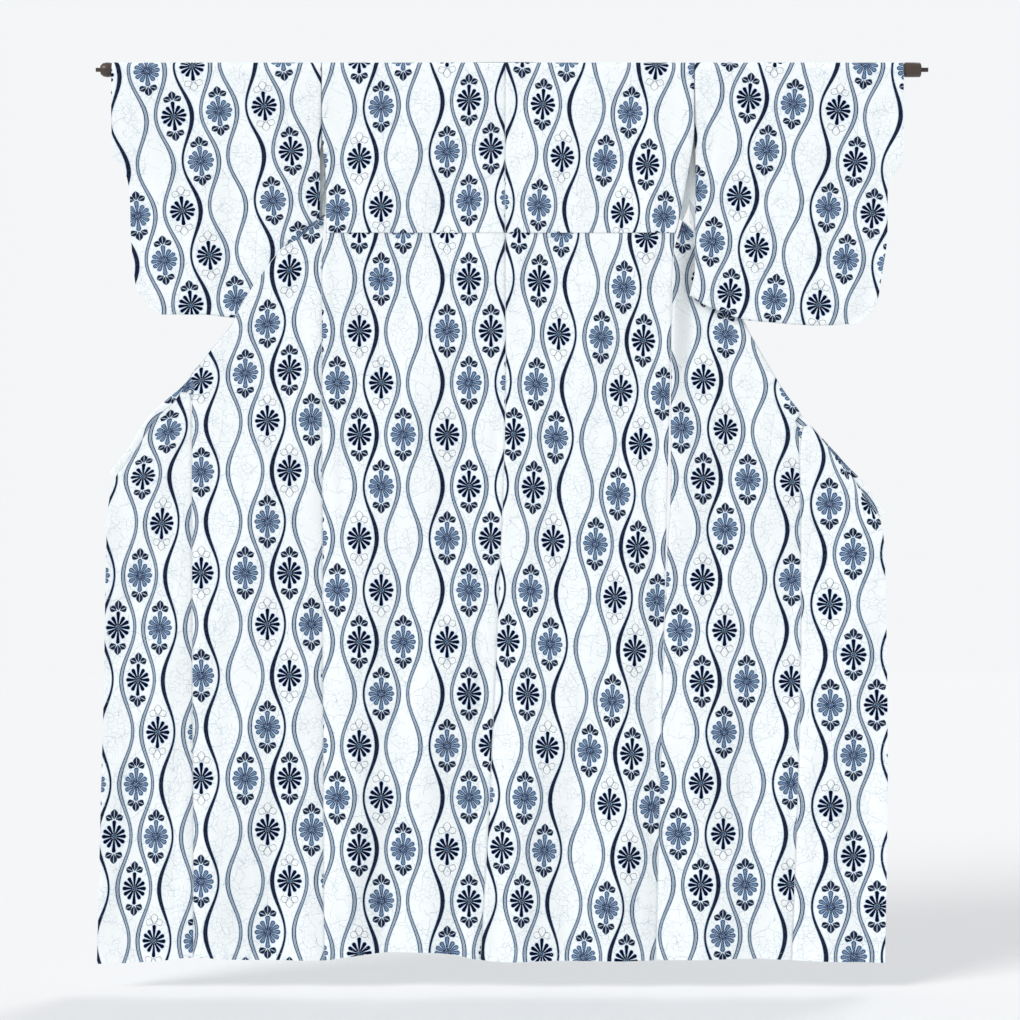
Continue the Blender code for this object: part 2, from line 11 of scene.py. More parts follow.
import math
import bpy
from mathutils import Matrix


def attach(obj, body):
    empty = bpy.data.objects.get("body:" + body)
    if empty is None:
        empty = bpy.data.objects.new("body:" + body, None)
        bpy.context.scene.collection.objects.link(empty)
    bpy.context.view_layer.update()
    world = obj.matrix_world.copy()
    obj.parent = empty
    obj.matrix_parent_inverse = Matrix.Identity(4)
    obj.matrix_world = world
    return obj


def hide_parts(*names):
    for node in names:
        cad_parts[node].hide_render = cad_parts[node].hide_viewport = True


bl_info = {
    "name": "Yukata Robe On A Rod",
    "version": (1, 0, 0),
    "blender": (4, 5, 0),
    "location": "View3D > Sidebar > Yukata",
    "description": "Sews, prints and hangs a cotton yukata robe over its rod",
    "category": "Object",
}

from collections import namedtuple
from functools import partialmethod

import bpy
import numpy as np
from bpy.props import FloatProperty, FloatVectorProperty, PointerProperty
from mathutils import Vector

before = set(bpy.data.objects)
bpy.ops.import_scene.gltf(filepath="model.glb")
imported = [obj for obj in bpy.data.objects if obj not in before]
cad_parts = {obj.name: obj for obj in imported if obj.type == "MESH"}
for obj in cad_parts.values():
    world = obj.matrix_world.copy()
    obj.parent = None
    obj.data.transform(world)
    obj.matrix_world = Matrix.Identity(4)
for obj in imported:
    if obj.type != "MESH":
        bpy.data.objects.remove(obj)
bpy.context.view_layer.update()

MM = 0.001

# ---- the robe's own sizes, metres --------------------------------------------------------------
CLOTH = 0.0015  # the solids' walls, whose middles the shells follow
COLLAR_WALL = 0.0024
SEAM = 0.0006
ROD_RADIUS = 0.011
ROD_CLEAR = 0.0004
WRAP = ROD_RADIUS + ROD_CLEAR + CLOTH / 2  # middle of the cloth that lies over the rod
COLLAR_WRAP = ROD_RADIUS + ROD_CLEAR + COLLAR_WALL / 2 + 0.0012
CREST_GAP = 0.0004  # between the two shells that meet on top of the rod
QUARTER_TURN = WRAP * math.pi / 2  # cloth from the crest to the height of the rod's middle
FAR_HANG = 0.0140  # how much a front on the far side leans in, per length of cloth
HEM_ROW = -1.5450  # the height at which edges are read for the row of points along the hem
HEM_FELT = -1.0000  # rows follow the hem's line more and more below this height
HEM_STEP = 0.0006  # half the width of the step where a hem's turned cloth ends
SLEEVE_HALF_BOTTOM = 0.0042  # half the space between a sleeve's two layers at its bottom
SLEEVE_TAPER_END = -0.2300  # the height at which the layers have come together
SLEEVE_TAPER_POWER = 0.9
LAYER_HALF_GAP = 0.0002  # half the least space between the two layers
SLEEVE_CLEAR = 0.0380  # the right front turns behind its sleeve within this width
MOUTH_LOW = -0.1400  # the sleeve's outer edge is open above this and draws shut below
MOUTH_SHUTS = 0.0550
MOUTH_PINCH = 0.0600
BOTTOM_ROLL = 0.0040
SLEEVE_READ = -0.4300  # the height at which a sleeve's width is read for its bottom
FRONT_EDGE_LIES = -0.0085  # Y of a front's seam to its okumi, low down
FREE_EDGE_LIES = -0.0070  # Y of an okumi's free edge, low down
LIES_FLAT_BY = 0.71  # share of the way to the hem at which those are reached
OKUMI_OPENS = 0.1000  # an okumi's free edge leaves its seam's line over this height
OPEN_FRONT_FOLDS = (-0.3300, 0.1000)  # folds start below this height, over this height
RIGHT_FRONT_EVENS = (-0.4400, 0.2500)  # the right front's bend is gone below this, over this
GATHER_TURN = -0.2620  # height at which a front turns over in the slit under the arm
TURN_STEP = 0.02  # the row added just before it, as a share of the way to the row above
NECK_MIDDLE = (-0.020, 0.0, 0.012)  # X of the collar's rows at the back of the neck
OKUMI_CORNER_ROW = 7  # rows down the edge that the collar follows
FAR_DROPS = (0.04, 0.085, 0.13, 0.165)  # rows down the far side, below the rod's middle
# Widths for which the pieces get their columns
BACK_WIDTH, FRONT_WIDTH, OKUMI_WIDTH, SLEEVE_WIDTH = 0.31, 0.23, 0.16, 0.35
LEAST_COLUMNS = 9
COLLAR_COLUMNS = 17
COLLAR_FINER = 0.8  # the collar's rows stand this much closer
CREST_ROWS = 9
HEM_ROWS = 14
SLEEVE_ROWS = 60
SLEEVE_SHARES = (0.02, 0.96)  # the first and the last of them, as shares of the way down
ROLL_ROWS = 7
ROLL_END = 1.2  # radians round the roll at the bottom of a sleeve

# ---- the sewing pattern ------------------------------------------------------------------------
Edge = namedtuple("Edge", "z x")
Hem = namedtuple("Hem", "x z")
Row = namedtuple("Row", "side_x side_y side_z edge_x edge_y edge_z")
Reach = namedtuple("Reach", "length inner outer behind")
Fold = namedtuple("Fold", "x lean top full half_width depth")
Lie = namedtuple("Lie", "z y unfolded")
Corner = namedtuple("Corner", "z seam_y free_y")
Turn = namedtuple("Turn", "x radius")


def rows_of(kind, *rows):
    """A table whose columns are the kind's fields."""
    return [kind(*row) for row in rows]



CENTRE_SEAM = rows_of(
    Edge, (20, -5), (-400, -5), (-620, -2), (-780, -7), (-930, -16), (-1240, -31), (-1360, -35),
    (-1560, -49),
)
LEFT_BACK_SIDE = rows_of(
    Edge, (20, -323.3), (-125, -323.3), (-165, -316.5), (-285, -315.5), (-298, -317.5),
    (-314, -323.2), (-900, -322), (-1560, -319),
)
RIGHT_BACK_SIDE = rows_of(
    Edge, (20, 323.3), (-125, 323.3), (-170, 314), (-235, 303), (-272, 295), (-295, 289),
    (-315, 287.6), (-435, 283), (-750, 281.5), (-820, 277), (-1200, 265), (-1560, 256),
)
LEFT_FAR_SIDE = rows_of(Edge, (20, -323.3), (-125, -323.3), (-190, -322.3))
RIGHT_FAR_SIDE = rows_of(Edge, (20, 323.3), (-125, 323.3), (-190, 320.5))
# Inner edge of each front on the far side of the rod, by the length of cloth past the crest
LEFT_NECKLINE = rows_of(
    Edge, (0, -40), (2.5, -68), (9, -90), (19, -104), (60, -136), (110, -176), (190, -243),
    (225, -275),
)
RIGHT_NECKLINE = rows_of(
    Edge, (0, 28), (2.5, 56), (9, 78), (19, 92), (60, 124), (110, 163), (190, 228), (225, 260),
)
# Below the shoulder each front is gathered, turns over in the slit under the arm and opens
# outwards. A row runs from the side of the cloth to its front edge.
LEFT_FRONT = rows_of(
    Row, (-322.3, 9.8, -190, -262, 9.8, -190), (-321.6, 9.2, -218, -286, 9.2, -218),
    (-321.2, 8.6, -238, -304, 7.6, -237), (-320.8, 7.2, -250, -314, 1.5, -248),
    (-320.4, 4.6, -260, -320.5, -6.5, -257), (-320.2, 0.0, -270, -330, -10.8, -267),
    (-320.6, -5.6, -282, -346, -11.4, -281), (-321.8, -9.8, -297, -362, -11.4, -297),
    (-323.8, -11.4, -318, -388, -11.4, -318), (-323.8, -11.5, -345, -410, -11.3, -345),
    (-323.8, -11.4, -375, -432, -11.1, -375), (-323.8, -11.3, -410, -454, -10.8, -410),
    (-323.7, -11.1, -455, -477, -10.3, -455), (-323.6, -11.0, -497, -508, -9.8, -497),
    (-323.5, -10.9, -543, -542, -9.4, -543),
)
RIGHT_FRONT = rows_of(
    Row, (320.5, 9.8, -190, 247, 10.2, -190), (316.8, 9.0, -216, 265, 10.4, -216),
    (312.5, 6.5, -236, 281, 10.8, -236), (307.5, 2.5, -252, 294, 11.4, -251),
    (303.0, -2.0, -265, 306, 12.0, -263), (298.5, -5.8, -279, 319, 12.6, -277),
    (293.0, -9.0, -297, 334, 12.9, -295), (288.2, -10.9, -319, 348, 12.9, -317),
    (287.5, -11.3, -350, 364, 12.8, -350), (285.8, -11.4, -392, 384, 12.4, -392),
    (283.8, -11.3, -440, 404, 11.6, -440), (283.4, -11.2, -495, 432, 10.4, -495),
    (283.0, -11.1, -550, 462, 9.0, -550), (282.6, -11.0, -605, 500, 7.8, -605),
)
LEFT_OKUMI_SEAM = rows_of(Edge, (-540, -549.5), (-900, -549), (-1300, -547), (-1560, -546))
RIGHT_OKUMI_SEAM = rows_of(Edge, (-600, 507), (-900, 510), (-1300, 502), (-1560, 492))
LEFT_FREE_EDGE = rows_of(
    Edge, (-558, -553.5), (-584, -585), (-608, -611), (-639, -632), (-669, -651), (-704, -679),
    (-720, -688), (-831, -697.5), (-921, -699.5), (-1100, -703), (-1300, -708), (-1460, -712),
    (-1560, -715),
)
RIGHT_FREE_EDGE = rows_of(
    Edge, (-618, 511.5), (-657, 546), (-690, 576), (-718, 603), (-752, 628), (-775, 645),
    (-800, 652), (-900, 657), (-1200, 660), (-1560, 655),
)
HEM = rows_of(
    Hem, (-720, -1555), (-647, -1553), (-585, -1547), (-548, -1543), (-468, -1547), (-379, -1548),
    (-318, -1548), (-296, -1544), (-247, -1538), (-190, -1534), (-140, -1534), (-92, -1539),
    (-57, -1546), (-9, -1551), (77, -1549), (216, -1549), (300, -1547), (420, -1546), (520, -1549),
    (680, -1554),
)
LEFT_SLEEVE_INNER = rows_of(Edge, (20, -324.2), (-120, -324.2), (-150, -327), (-450, -327))
LEFT_SLEEVE_OUTER = rows_of(
    Edge, (20, -687), (-36, -689), (-149, -687), (-175, -668), (-210, -659), (-288, -656),
    (-349, -651), (-384, -645), (-401, -635), (-418, -616), (-426, -602), (-450, -590),
)
RIGHT_SLEEVE_INNER = rows_of(
    Edge, (20, 324.2), (-120, 324.2), (-150, 326), (-350, 325), (-394, 316), (-450, 312),
)
RIGHT_SLEEVE_OUTER = rows_of(
    Edge, (20, 687), (-149, 687), (-175, 679), (-196, 661), (-288, 660), (-360, 650), (-400, 643),
    (-422, 633), (-441, 609), (-450, 596),
)
SLEEVE_BOTTOM = rows_of(
    Hem, (-700, -426), (-527, -426), (-501, -429), (-470, -432), (-320, -433), (315, -394),
    (334, -406), (358, -417), (405, -433), (470, -440), (560, -445), (610, -443), (700, -441),
)
# How far the collar reaches inwards of the fronts' edge (-) or starts past it, how far outwards,
# and how far it lies behind, by the length along the edge from the slit under the arm
COLLAR_REACH = rows_of(
    Reach, (-380, 0.6, 34, 0), (-110, 0.6, 30, 0), (-40, 0.7, 16, 0), (-12, 0.8, 7, 0),
    (0, 0.8, 5, 0), (14, 0.8, 6, 0.8), (40, 0.8, 7, 1.6), (100, 0.8, 8, 2.8), (160, -10, 8, 2.9),
    (230, -16, 9, 3.6), (330, -16, 13, 4.4), (700, -16, 13, 4.4),
)
# The back above the tuck, the tuck's two turns and the back below it. The cloth runs down outside,
# up inside the fold and down again
BACK_LINE = rows_of(
    Lie, (-30, -11.7, -30), (-100, -12.2, -100), (-200, -12.6, -200), (-270, -12.9, -270),
    (-283.6, -13.0, -283.6), (-284.2, -12.85, -284.2), (-284.5, -12.6, -284.5),
    (-284.2, -12.35, -284.9), (-283.6, -12.2, -285.6), (-258.0, -12.2, -311.2),
    (-257.4, -12.05, -311.8), (-257.1, -11.8, -312.1), (-257.4, -11.55, -312.5),
    (-258.0, -11.4, -313.1), (-284.8, -11.3, -339.9), (-330, -11.2, -385.1), (-500, -11.1, -555.1),
    (-1020, -11.1, -1075.1), (-1532.4, -11.1, -1587.5), (-1533.6, -11.1, -1588.7),
    (-1545, -11.1, -1600.1),
)
ROD_PROFILE = rows_of(
    Turn, (-717, 3.6), (-709, 3.6), (-708.5, 8.0), (-704, 11.6), (-697, 12.9), (-690, 12.0),
    (-688.5, ROD_RADIUS / MM), (690, ROD_RADIUS / MM), (690.5, 12.8), (716, 12.8), (718, 11.4),
    (718.4, 3.8), (731, 3.8),
)
ROD_SIDES = 48
ROWS_TO_TUCK = 13  # rows of the back's line before the plain back below the tuck
TUCK_LINE = -0.2845
TUCK_TAKES = 0.0551  # cloth hidden in the tuck
LEFT_OKUMI_CORNER = Corner(-704, -9.4, -8.6)
RIGHT_OKUMI_CORNER = Corner(-775, 7.8, 6.0)
# okumi_droop is how much of the print's droop the okumi shares, edge_pull how far its print is
# pulled aside at the slanting edge, and collar_seen the length below the okumi's top at which the
# whole collar shows
Half = namedtuple("Half", "back_side far_side neckline front okumi_seam free_edge okumi_corner "
                          "okumi_droop edge_pull collar_seen sign")
LEFT_HALF = Half(LEFT_BACK_SIDE, LEFT_FAR_SIDE, LEFT_NECKLINE, LEFT_FRONT, LEFT_OKUMI_SEAM,
                 LEFT_FREE_EDGE, LEFT_OKUMI_CORNER, 1.2, 0.0, 0.030, -1)
RIGHT_HALF = Half(RIGHT_BACK_SIDE, RIGHT_FAR_SIDE, RIGHT_NECKLINE, RIGHT_FRONT, RIGHT_OKUMI_SEAM,
                  RIGHT_FREE_EDGE, RIGHT_OKUMI_CORNER, 0.0, 0.026, 0.200, 1)

# Soft troughs (+) and ridges (-) of the hanging cloth, as the solids have them
FOLDS = rows_of(
    Fold, (-640, -10, -900, -1350, 34, 5.0), (-598, -4, -760, -1200, 24, -3.4),
    (-548, 2, -620, -1000, 13, 3.2), (-500, -6, -980, -1450, 40, -5.2),
    (-412, 8, -840, -1300, 30, 4.0), (-323, 3, -330, -620, 11, 2.6),
    (-268, -12, -700, -1400, 34, -6.4), (-196, -18, -900, -1500, 30, 6.2),
    (-120, -20, -640, -1250, 26, -4.6), (-60, -30, -1020, -1500, 20, 5.4),
    (-4, -44, -420, -980, 9, 2.0), (52, -36, -760, -1300, 26, -5.6),
    (128, -30, -940, -1480, 30, 5.0), (206, -26, -700, -1420, 32, -5.0),
    (281, -25, -470, -760, 12, 3.0), (352, -22, -900, -1400, 34, -5.6),
    (430, -16, -760, -1350, 28, 4.4), (508, -14, -660, -1050, 13, 3.0),
    (566, -10, -980, -1450, 30, -4.8), (622, -4, -860, -1380, 24, 3.6),
)

# Small creases of the worn and folded cloth: middle, turn from the vertical, half length, half
# width and depth (+ a trough, - a ridge)
Crease = namedtuple("Crease", "x z degrees half_length half_width depth")
BODY_CREASES = rows_of(
    Crease, (-300, -180, 6, 90, 7, 0.7), (-258, -240, -9, 60, 6, -0.6), (-214, -120, 4, 95, 9, 0.6),
    (-150, -215, -5, 70, 8, -0.7), (-88, -150, 3, 100, 8, 0.6), (-40, -225, -8, 50, 6, 0.6),
    (34, -140, 5, 105, 9, -0.7), (96, -205, -6, 70, 7, 0.7), (158, -110, 8, 80, 8, -0.6),
    (221, -190, 14, 85, 7, 0.8), (262, -130, 9, 90, 6, -0.7), (-236, -420, -4, 120, 10, 0.9),
    (-172, -560, 3, 160, 12, -1.0), (-92, -470, -3, 130, 9, 0.8), (24, -540, 4, 170, 11, 0.9),
    (88, -430, -4, 120, 9, -0.8), (150, -640, 3, 180, 13, 1.0), (232, -520, -3, 140, 10, 0.9),
    (-286, -760, 2, 150, 10, 0.9), (-30, -880, -4, 190, 10, -1.0), (104, -930, 3, 160, 11, 0.9),
    (-150, -1060, -3, 170, 12, -1.1), (236, -1120, 4, 150, 11, 1.0),
    (-222, -1290, 3, 140, 11, -1.0), (20, -1330, -5, 130, 10, 1.0), (176, -1400, 4, 110, 9, -0.9),
    (-352, -470, 18, 110, 9, 1.0), (-404, -560, 10, 130, 10, -1.0), (-452, -700, 6, 170, 12, 1.1),
    (-372, -860, 3, 180, 11, -1.0), (-520, -900, 2, 160, 10, 0.9), (-588, -820, 8, 110, 9, -0.9),
    (-650, -1010, 4, 170, 10, 1.0), (-432, -1180, -3, 150, 11, 1.0),
    (-560, -1330, 3, 120, 10, -1.0), (-676, -1400, 2, 100, 8, 0.8), (318, -470, -16, 110, 9, 1.0),
    (364, -580, -12, 140, 10, -1.1), (412, -690, -7, 150, 11, 1.0), (330, -840, -3, 170, 11, -1.0),
    (470, -900, -4, 170, 10, 1.0), (560, -840, -12, 110, 9, 0.9), (606, -1010, -4, 160, 10, -1.0),
    (396, -1190, 3, 160, 12, 1.0), (540, -1280, -3, 140, 10, 1.0), (632, -1420, -2, 90, 8, -0.8),
)
SLEEVE_CREASES = rows_of(
    Crease, (-640, -110, 9, 80, 7, 0.8), (-584, -190, 12, 95, 8, -0.9), (-534, -90, 7, 75, 8, 0.7),
    (-486, -240, 10, 110, 9, 0.9), (-430, -150, 8, 95, 7, -0.8), (-386, -300, 5, 85, 8, 0.9),
    (-352, -190, 12, 100, 6, 0.9), (-600, -340, 14, 60, 8, 0.8), (-520, -370, -8, 45, 7, -0.7),
    (-446, -385, 6, 40, 6, 0.7), (352, -170, -10, 100, 6, 0.9), (392, -290, -6, 90, 8, -0.9),
    (440, -130, -9, 85, 7, 0.8), (494, -250, -8, 110, 9, 0.9), (546, -100, -7, 75, 8, -0.7),
    (590, -210, -12, 95, 8, 0.9), (644, -120, -8, 80, 7, 0.8), (616, -350, -16, 60, 8, -0.8),
    (520, -380, 9, 45, 7, 0.7), (440, -390, -5, 40, 6, 0.7),
)
FAR_CREASES = rows_of(
    Crease, (-290, -90, 4, 70, 8, -0.8), (-232, -60, -12, 50, 7, 0.7),
    (-272, -150, -22, 60, 6, 0.9), (-180, -50, -18, 45, 7, -0.6), (284, -95, -6, 70, 8, 0.8),
    (226, -70, 14, 55, 7, -0.7), (262, -150, 20, 60, 6, -0.9), (170, -45, 20, 45, 7, 0.6),
    (-610, -130, -7, 90, 8, 0.9), (-548, -230, -11, 100, 9, -0.9), (-470, -120, -6, 85, 8, 0.8),
    (-402, -260, -9, 100, 8, 0.9), (-356, -140, -5, 70, 6, -0.8), (-500, -360, 10, 50, 7, 0.8),
    (356, -240, 7, 100, 8, 0.9), (420, -120, 10, 80, 8, -0.8), (488, -220, 6, 105, 9, 0.9),
    (560, -140, 9, 90, 8, -0.9), (628, -230, 12, 95, 8, 0.9), (470, -370, -10, 50, 7, -0.8),
)

CREASE_SWAY = 0.12  # a crease sways by this share of its half width
CREASE_SWAY_LENGTH = 0.18
RIPPLE_LENGTHS = (0.210, 0.150, 0.095, 0.062, 0.043, 0.030)
RIPPLE_HEIGHT = 0.0026  # of the longest ripple, from trough to ridge
RIPPLE_TURN = 0.5  # radians that a ripple turns from upright, at most
RIPPLE_BEND = 0.6  # how much of a wave it bends, and how that goes down, across and how fast
RIPPLE_BEND_WAY = (0.7, 0.3, 2.1)
# Ripples: the number from which each is drawn, and its strength
BODY_RIPPLE = (3, 1.0)
SLEEVE_RIPPLE = (5, 0.8)
FAR_SLEEVE_RIPPLE = (8, 0.8)
FAR_FRONT_RIPPLE = (11, 0.7)
ROD_CLEARS = (0.012, 0.070)  # creases start this far below the rod's middle, over this height
BOTTOM_CLEARS = 0.030  # they end above a sleeve's bottom over this height
LAYERS_PART = 0.0025  # and where its layers are nearer than this to each other
SHOULDER_ENDS = (-0.150, 0.040)  # height below which the far side's creases end, over this height

# ---- the bolt of cloth and where on it each piece was cut ---------------------------------------
# At X = x stands wavy line number `line`, and the next one is `pitch` away. At height z the print
# is `row` of the way through its repeat, which is `height` tall, less than 0 where the print runs
# down. Lines lean by column_lean and rows by row_lean. From z up to the crest the lines also
# spread like a fan, by `fan` for each millimetre away from x and each one above z.
Chart = namedtuple("Chart", "x line pitch z row height column_lean row_lean fan", defaults=(0,))
LEFT_UPPER = Chart(-277.2, 1, 38.1, -157, 0, 348, 0, 0.075)
LEFT_LOWER = Chart(-277.2, 1, 38.1, -455, -1, 360, 0, 0)
RIGHT_UPPER = Chart(-1.8, 8, -36.0, -284.5, 0.9, -351, -0.023, -0.092, -0.000247)
RIGHT_LOWER = Chart(-1.8, 7.958, -36.79, -450.9, 1.4924, -359.6, -0.0281, -0.0761)
LEFT_OPEN_FRONT = Chart(-322, 0, -38.3, -696.9, 0, -356.7, 0, 0)
RIGHT_OPEN_FRONT = Chart(285, 0.078, 38.96, -537.5, -0.012, 353.2, -0.007, -0.005)
LEFT_OKUMI = Chart(-692.6, 8, -36.5, -790, -0.497, -363, -0.019, 0, -0.00044)
RIGHT_OKUMI = Chart(540, 5, 40.5, -755, 0, 350, 0, 0)
LEFT_SLEEVE = Chart(-622.9, 0.61, 39.7, -3.8, 0.75, 331, 0.09, 0.11)
RIGHT_SLEEVE = Chart(417, 1.306, 39.2, 12.3, 0.685, 342.3, -0.097, -0.129)
COLLAR_LINE = 9.55  # the wavy line's number at the collar's outer edge
COLLAR_FLOWERS = (0.205, 0.130)  # from the collar's left and right ends to a flower's middle
BAND_HALF = 0.0032  # a band's mean half width
BAND_SWELL = 0.0005  # bands swell and thin by this
SOLID_THINNER = 0.0004  # a solid line's mean half width is this much less than a band's
SOLID_SWELLS = 0.0005  # and it swells and thins by this much more
BAND_RIM = 0.0015  # the plain dark rims of a band, outside its dotted middle
MIDDLE_PALE = 0.16  # how pale the dye between the dots is
DOT_PITCH = 0.0021  # white dots in the bands
DOT_ROW = 0.00095
DOT_RADIUS = 0.00074
FLOWER_WIDTH = 0.0430  # the width for which the petals' sizes are given
PETAL_TURN = math.radians(30)
PETAL_ROOT = 0.0050  # from the heart, where a petal's half width is PETAL_NARROW
PETAL_NARROW = 0.0013
PETAL_TIP = 0.0181
PETAL_BROAD = 0.0034
UPRIGHT_LONGER = 0.0065
UPRIGHT_SLOPE = 3.73  # a petal steeper than this is an upright one
HEART = 0.0036
LEAF_NODE = 0.0282  # from a flower's heart to where its three leaves meet
LEAF_START = (0.0012, 0.0028)  # from there to the root of the upright leaf and the others
LEAF_LEAN = math.radians(66)
LEAF_SHARE = (0.345, 0.430)  # half width as a share of length, of the upright leaf and the others
SIDE_LEAF = 0.77  # length of a leaning leaf, as a share of the upright one's
LEAF_SWELL = (1.2, 1.6, 1.1)  # how a leaf widens from its root and draws in to its end
LEAF_PEAK = 3.485  # makes the widest place of that curve 1
VEIN = 0.10  # width of the white vein, as a share of the leaf's
VEIN_SHOWS = 0.8
SPOT_PITCH = 0.0026  # white spots in the petals
SPOT_RADIUS = 0.00042
SPOTTED_BROADER = 0.0006  # spotted petals are wider, so they touch
PETAL_RIM = (-0.0019, -0.0010)  # from the pale inside of a spotted petal to its dark rim
SPOT_RIM = (-0.0016, -0.0010)  # the spots end this far inside a petal's edge
PETAL_PALE = 0.34
RAGGED = 0.0009  # the dyed edges wander by this
# Each pair is a distance at which something is still whole and one at which it has gone
DYE_SOFT = (-0.25 * MM, 0.25 * MM)
BAND_SOFT = (-0.3 * MM, 0.3 * MM)
VEIN_SOFT = (-0.2 * MM, 0.2 * MM)
HEART_SOFT = (1.9 * MM, 2.5 * MM)
OUTLINE = (0.35 * MM, 0.85 * MM)
BLEED = (0.1 * MM, 2.2 * MM)
SPOT_SOFT = 0.15 * MM
OUTLINE_SHOWS = 0.75
HEART_PALE = 0.35
# Noise: its waves in a metre and its levels of detail. And what it does to the bleed and the ink:
# how much it changes them, and what is left where it is 0
MOTTLE = (300.0, 3.0)
BLEED_MOTTLE = (0.6, 0.12)
INK_MOTTLE = (0.10, 0.93)
THREAD_NOISE = (320.0, 3.0)
CRIMP_NOISE = (90.0, 3.0)
CRACK_WARP = (60.0, 4.0)
CRACK_SHIFT = (0.012, 0.012, 0.012)  # the cracks are moved by up to this
CRACK_BREAKS = (0.60, 0.42)  # cracks show where noise is above the first, not below the second
# Cracks of the wax: size of the cells between them, width, and how finely they are broken up
CRACKS = ((0.046, 0.0005, 30.0), (0.021, 0.0004, 45.0), (0.0085, 0.0003, 26.0))
SEAM_SHADE_TINT = (0.10, 0.13, 0.20)  # painted shade: the cloth's colour is multiplied by this in a seam's ditch, where its hollow would be shaded
THREAD = 0.0005
THREAD_ROUGHNESS = 0.7
STITCH_PROUD = 0.2  # how far a stitch stands out, as a share of the thread's width
STITCH_ROW = 0.9  # stitches run at this share of a hem's height
STITCH_STARTS = 4  # and start this many rows below the okumi's corner
COLLAR_ROUNDS, COLLAR_RIM = 9, 0.02  # the collar keeps its thickness but for rounded rims
NECK_SMOOTHINGS = 3
OKUMI_JOINS = 2  # the slanting edge goes over to the okumi at this row of it
WEFT, WARP = 0.00125, 0.0008  # from one thread to the next
WEAVE_HEIGHTS = (0.25, 0.15, 1.2, 0.8)  # of the weft, the warp, the crimp and the uneven thread
RIB_HEIGHT = 0.0004
COTTON_SHINE = 0.03
STREAK_SCALE = (3.0, 60.0, 60.0)  # streaks run along the rod
STREAKS = (0.72, 0.52)
WORN_DULLER = 0.12
WHOLE_SMOOTHER = 0.10
FLOOR = -1.600
CAMERA_X, CAMERA_Z = 0.0035, -0.766
SENSOR_WIDTH = 36
CAMERA_SEES = 100
FLOOR_REACH = 9
SQUARE = ((-1, -1), (1, -1), (1, 1), (-1, 1))
SUN_SOFTNESS = math.radians(25)
Sun = namedtuple("Sun", "name towards strength")
SUNS = rows_of(
    Sun, ("window_light", (0.60, 0.55, -0.58), 1.0), ("rear_light", (-0.45, -0.75, -0.48), 0.6),
)
FAR_AWAY = 0.1  # metres added to the distance of a form that isn't there

# Beside the slanting front edge, which is cut across the weave, the cloth has stretched, so the
# print hangs lower by DROOP and less and less further in. It ends within DROOP_ENDS of the corner.
# At the slit it is only DROOP_LEAST as much, and it grows to the whole over DROOP_GROWS
DROOP = 0.030
DROOP_REACH = 0.065
DROOP_ENDS = 0.100
DROOP_LEAST = 0.35
DROOP_GROWS = 0.120
PULL_REACH = 0.008
SLANT_TOP = 8  # row of a front's table where its slanting edge begins
COLLAR_PEEPS = 0.0010  # what shows of the collar beside a front
COVER_STARTS = (0.040, 0.050)  # the edge is drawn out this far below the slit, over this length
COVER_ENDS = 0.025  # and begins to come back this far above the okumi's top
COVER_REACH = 0.025
# The far layers are drawn together behind the slits, a sleeve's and a front's by these lengths,
# over SHUT_REACH across the cloth and from SLIT_STARTS down
SLEEVE_SHUTS = {"left": 0.0060, "right": 0.0100}
FRONT_SHUTS = 0.0025
SHUT_REACH = 0.022
SLIT_STARTS = -0.060
SLIT_FADES = 0.050
SLEEVE_SLIT_ENDS = -0.285
CORNER_FADE = 12  # the painted shade line beside the collar fades out over this height at the corner

# What the cells between two lines hold, in the print's two kinds of row. Column 0 lies between
# lines 0 and 1, and nine columns repeat
NOTHING = (0, 0, 0)  # flower, white spots in its petals, dark leaves
SPOTTED = (1, 1, 1)
DARK = (1, 0, 1)
PALE_LEAVED = (1, 0, 0)
Cell = namedtuple("Cell", "first second")
CELLS = rows_of(
    Cell, (SPOTTED, NOTHING), (PALE_LEAVED, DARK), (PALE_LEAVED, SPOTTED), (NOTHING, SPOTTED),
    (NOTHING, NOTHING), (SPOTTED, PALE_LEAVED), (SPOTTED, DARK), (DARK, NOTHING),
    (SPOTTED, NOTHING),
)


# ---- curves and fields --------------------------------------------------------------------------
def curve(xs, ys, at):
    """A smooth curve through the points: cubics whose slope at a point is its neighbours' mean."""
    order = np.argsort(xs)
    xs, ys = np.asarray(xs, float)[order], np.asarray(ys, float)[order]
    tail = (1,) * (ys.ndim - 1)
    gaps = np.diff(xs).reshape(-1, *tail)
    rise = np.diff(ys, axis=0) / gaps
    slope = np.concatenate([rise[:1], (rise[1:] + rise[:-1]) / 2, rise[-1:]])
    inner = slice(1, -1)
    slope[inner] = np.where(rise[1:] * rise[:-1] <= 0, 0, slope[inner])
    steepest = 3 * np.minimum(abs(rise[1:]), abs(rise[:-1]))
    slope[inner] = np.sign(slope[inner]) * np.minimum(abs(slope[inner]), steepest)
    at = np.clip(np.asarray(at, float), xs[0], xs[-1])
    i = np.clip(np.searchsorted(xs, at, side="right") - 1, 0, len(xs) - 2)
    t = np.reshape((at - xs[i]) / (xs[i + 1] - xs[i]), at.shape + tail)
    width = gaps[i]
    return (
        (1 + 2 * t) * (1 - t) ** 2 * ys[i]
        + t * (1 - t) ** 2 * width * slope[i]
        + t**2 * (3 - 2 * t) * ys[i + 1]
        + t**2 * (t - 1) * width * slope[i + 1]
    )


def edge_at(table, z):
    """X in metres of an edge table at heights z in metres."""
    return curve([e.z for e in table], [e.x for e in table], np.asarray(z) / MM) * MM


def hem_at(table, x):
    """Height in metres of a hem table at places x in metres."""
    return curve([h.x for h in table], [h.z for h in table], np.asarray(x) / MM) * MM


def soft_step(t):
    """0 below 0 and 1 above 1, with a smooth rise between: t squared times (3 - 2 t)."""
    t = np.clip(t, 0, 1)
    return t * t * (3 - 2 * t)


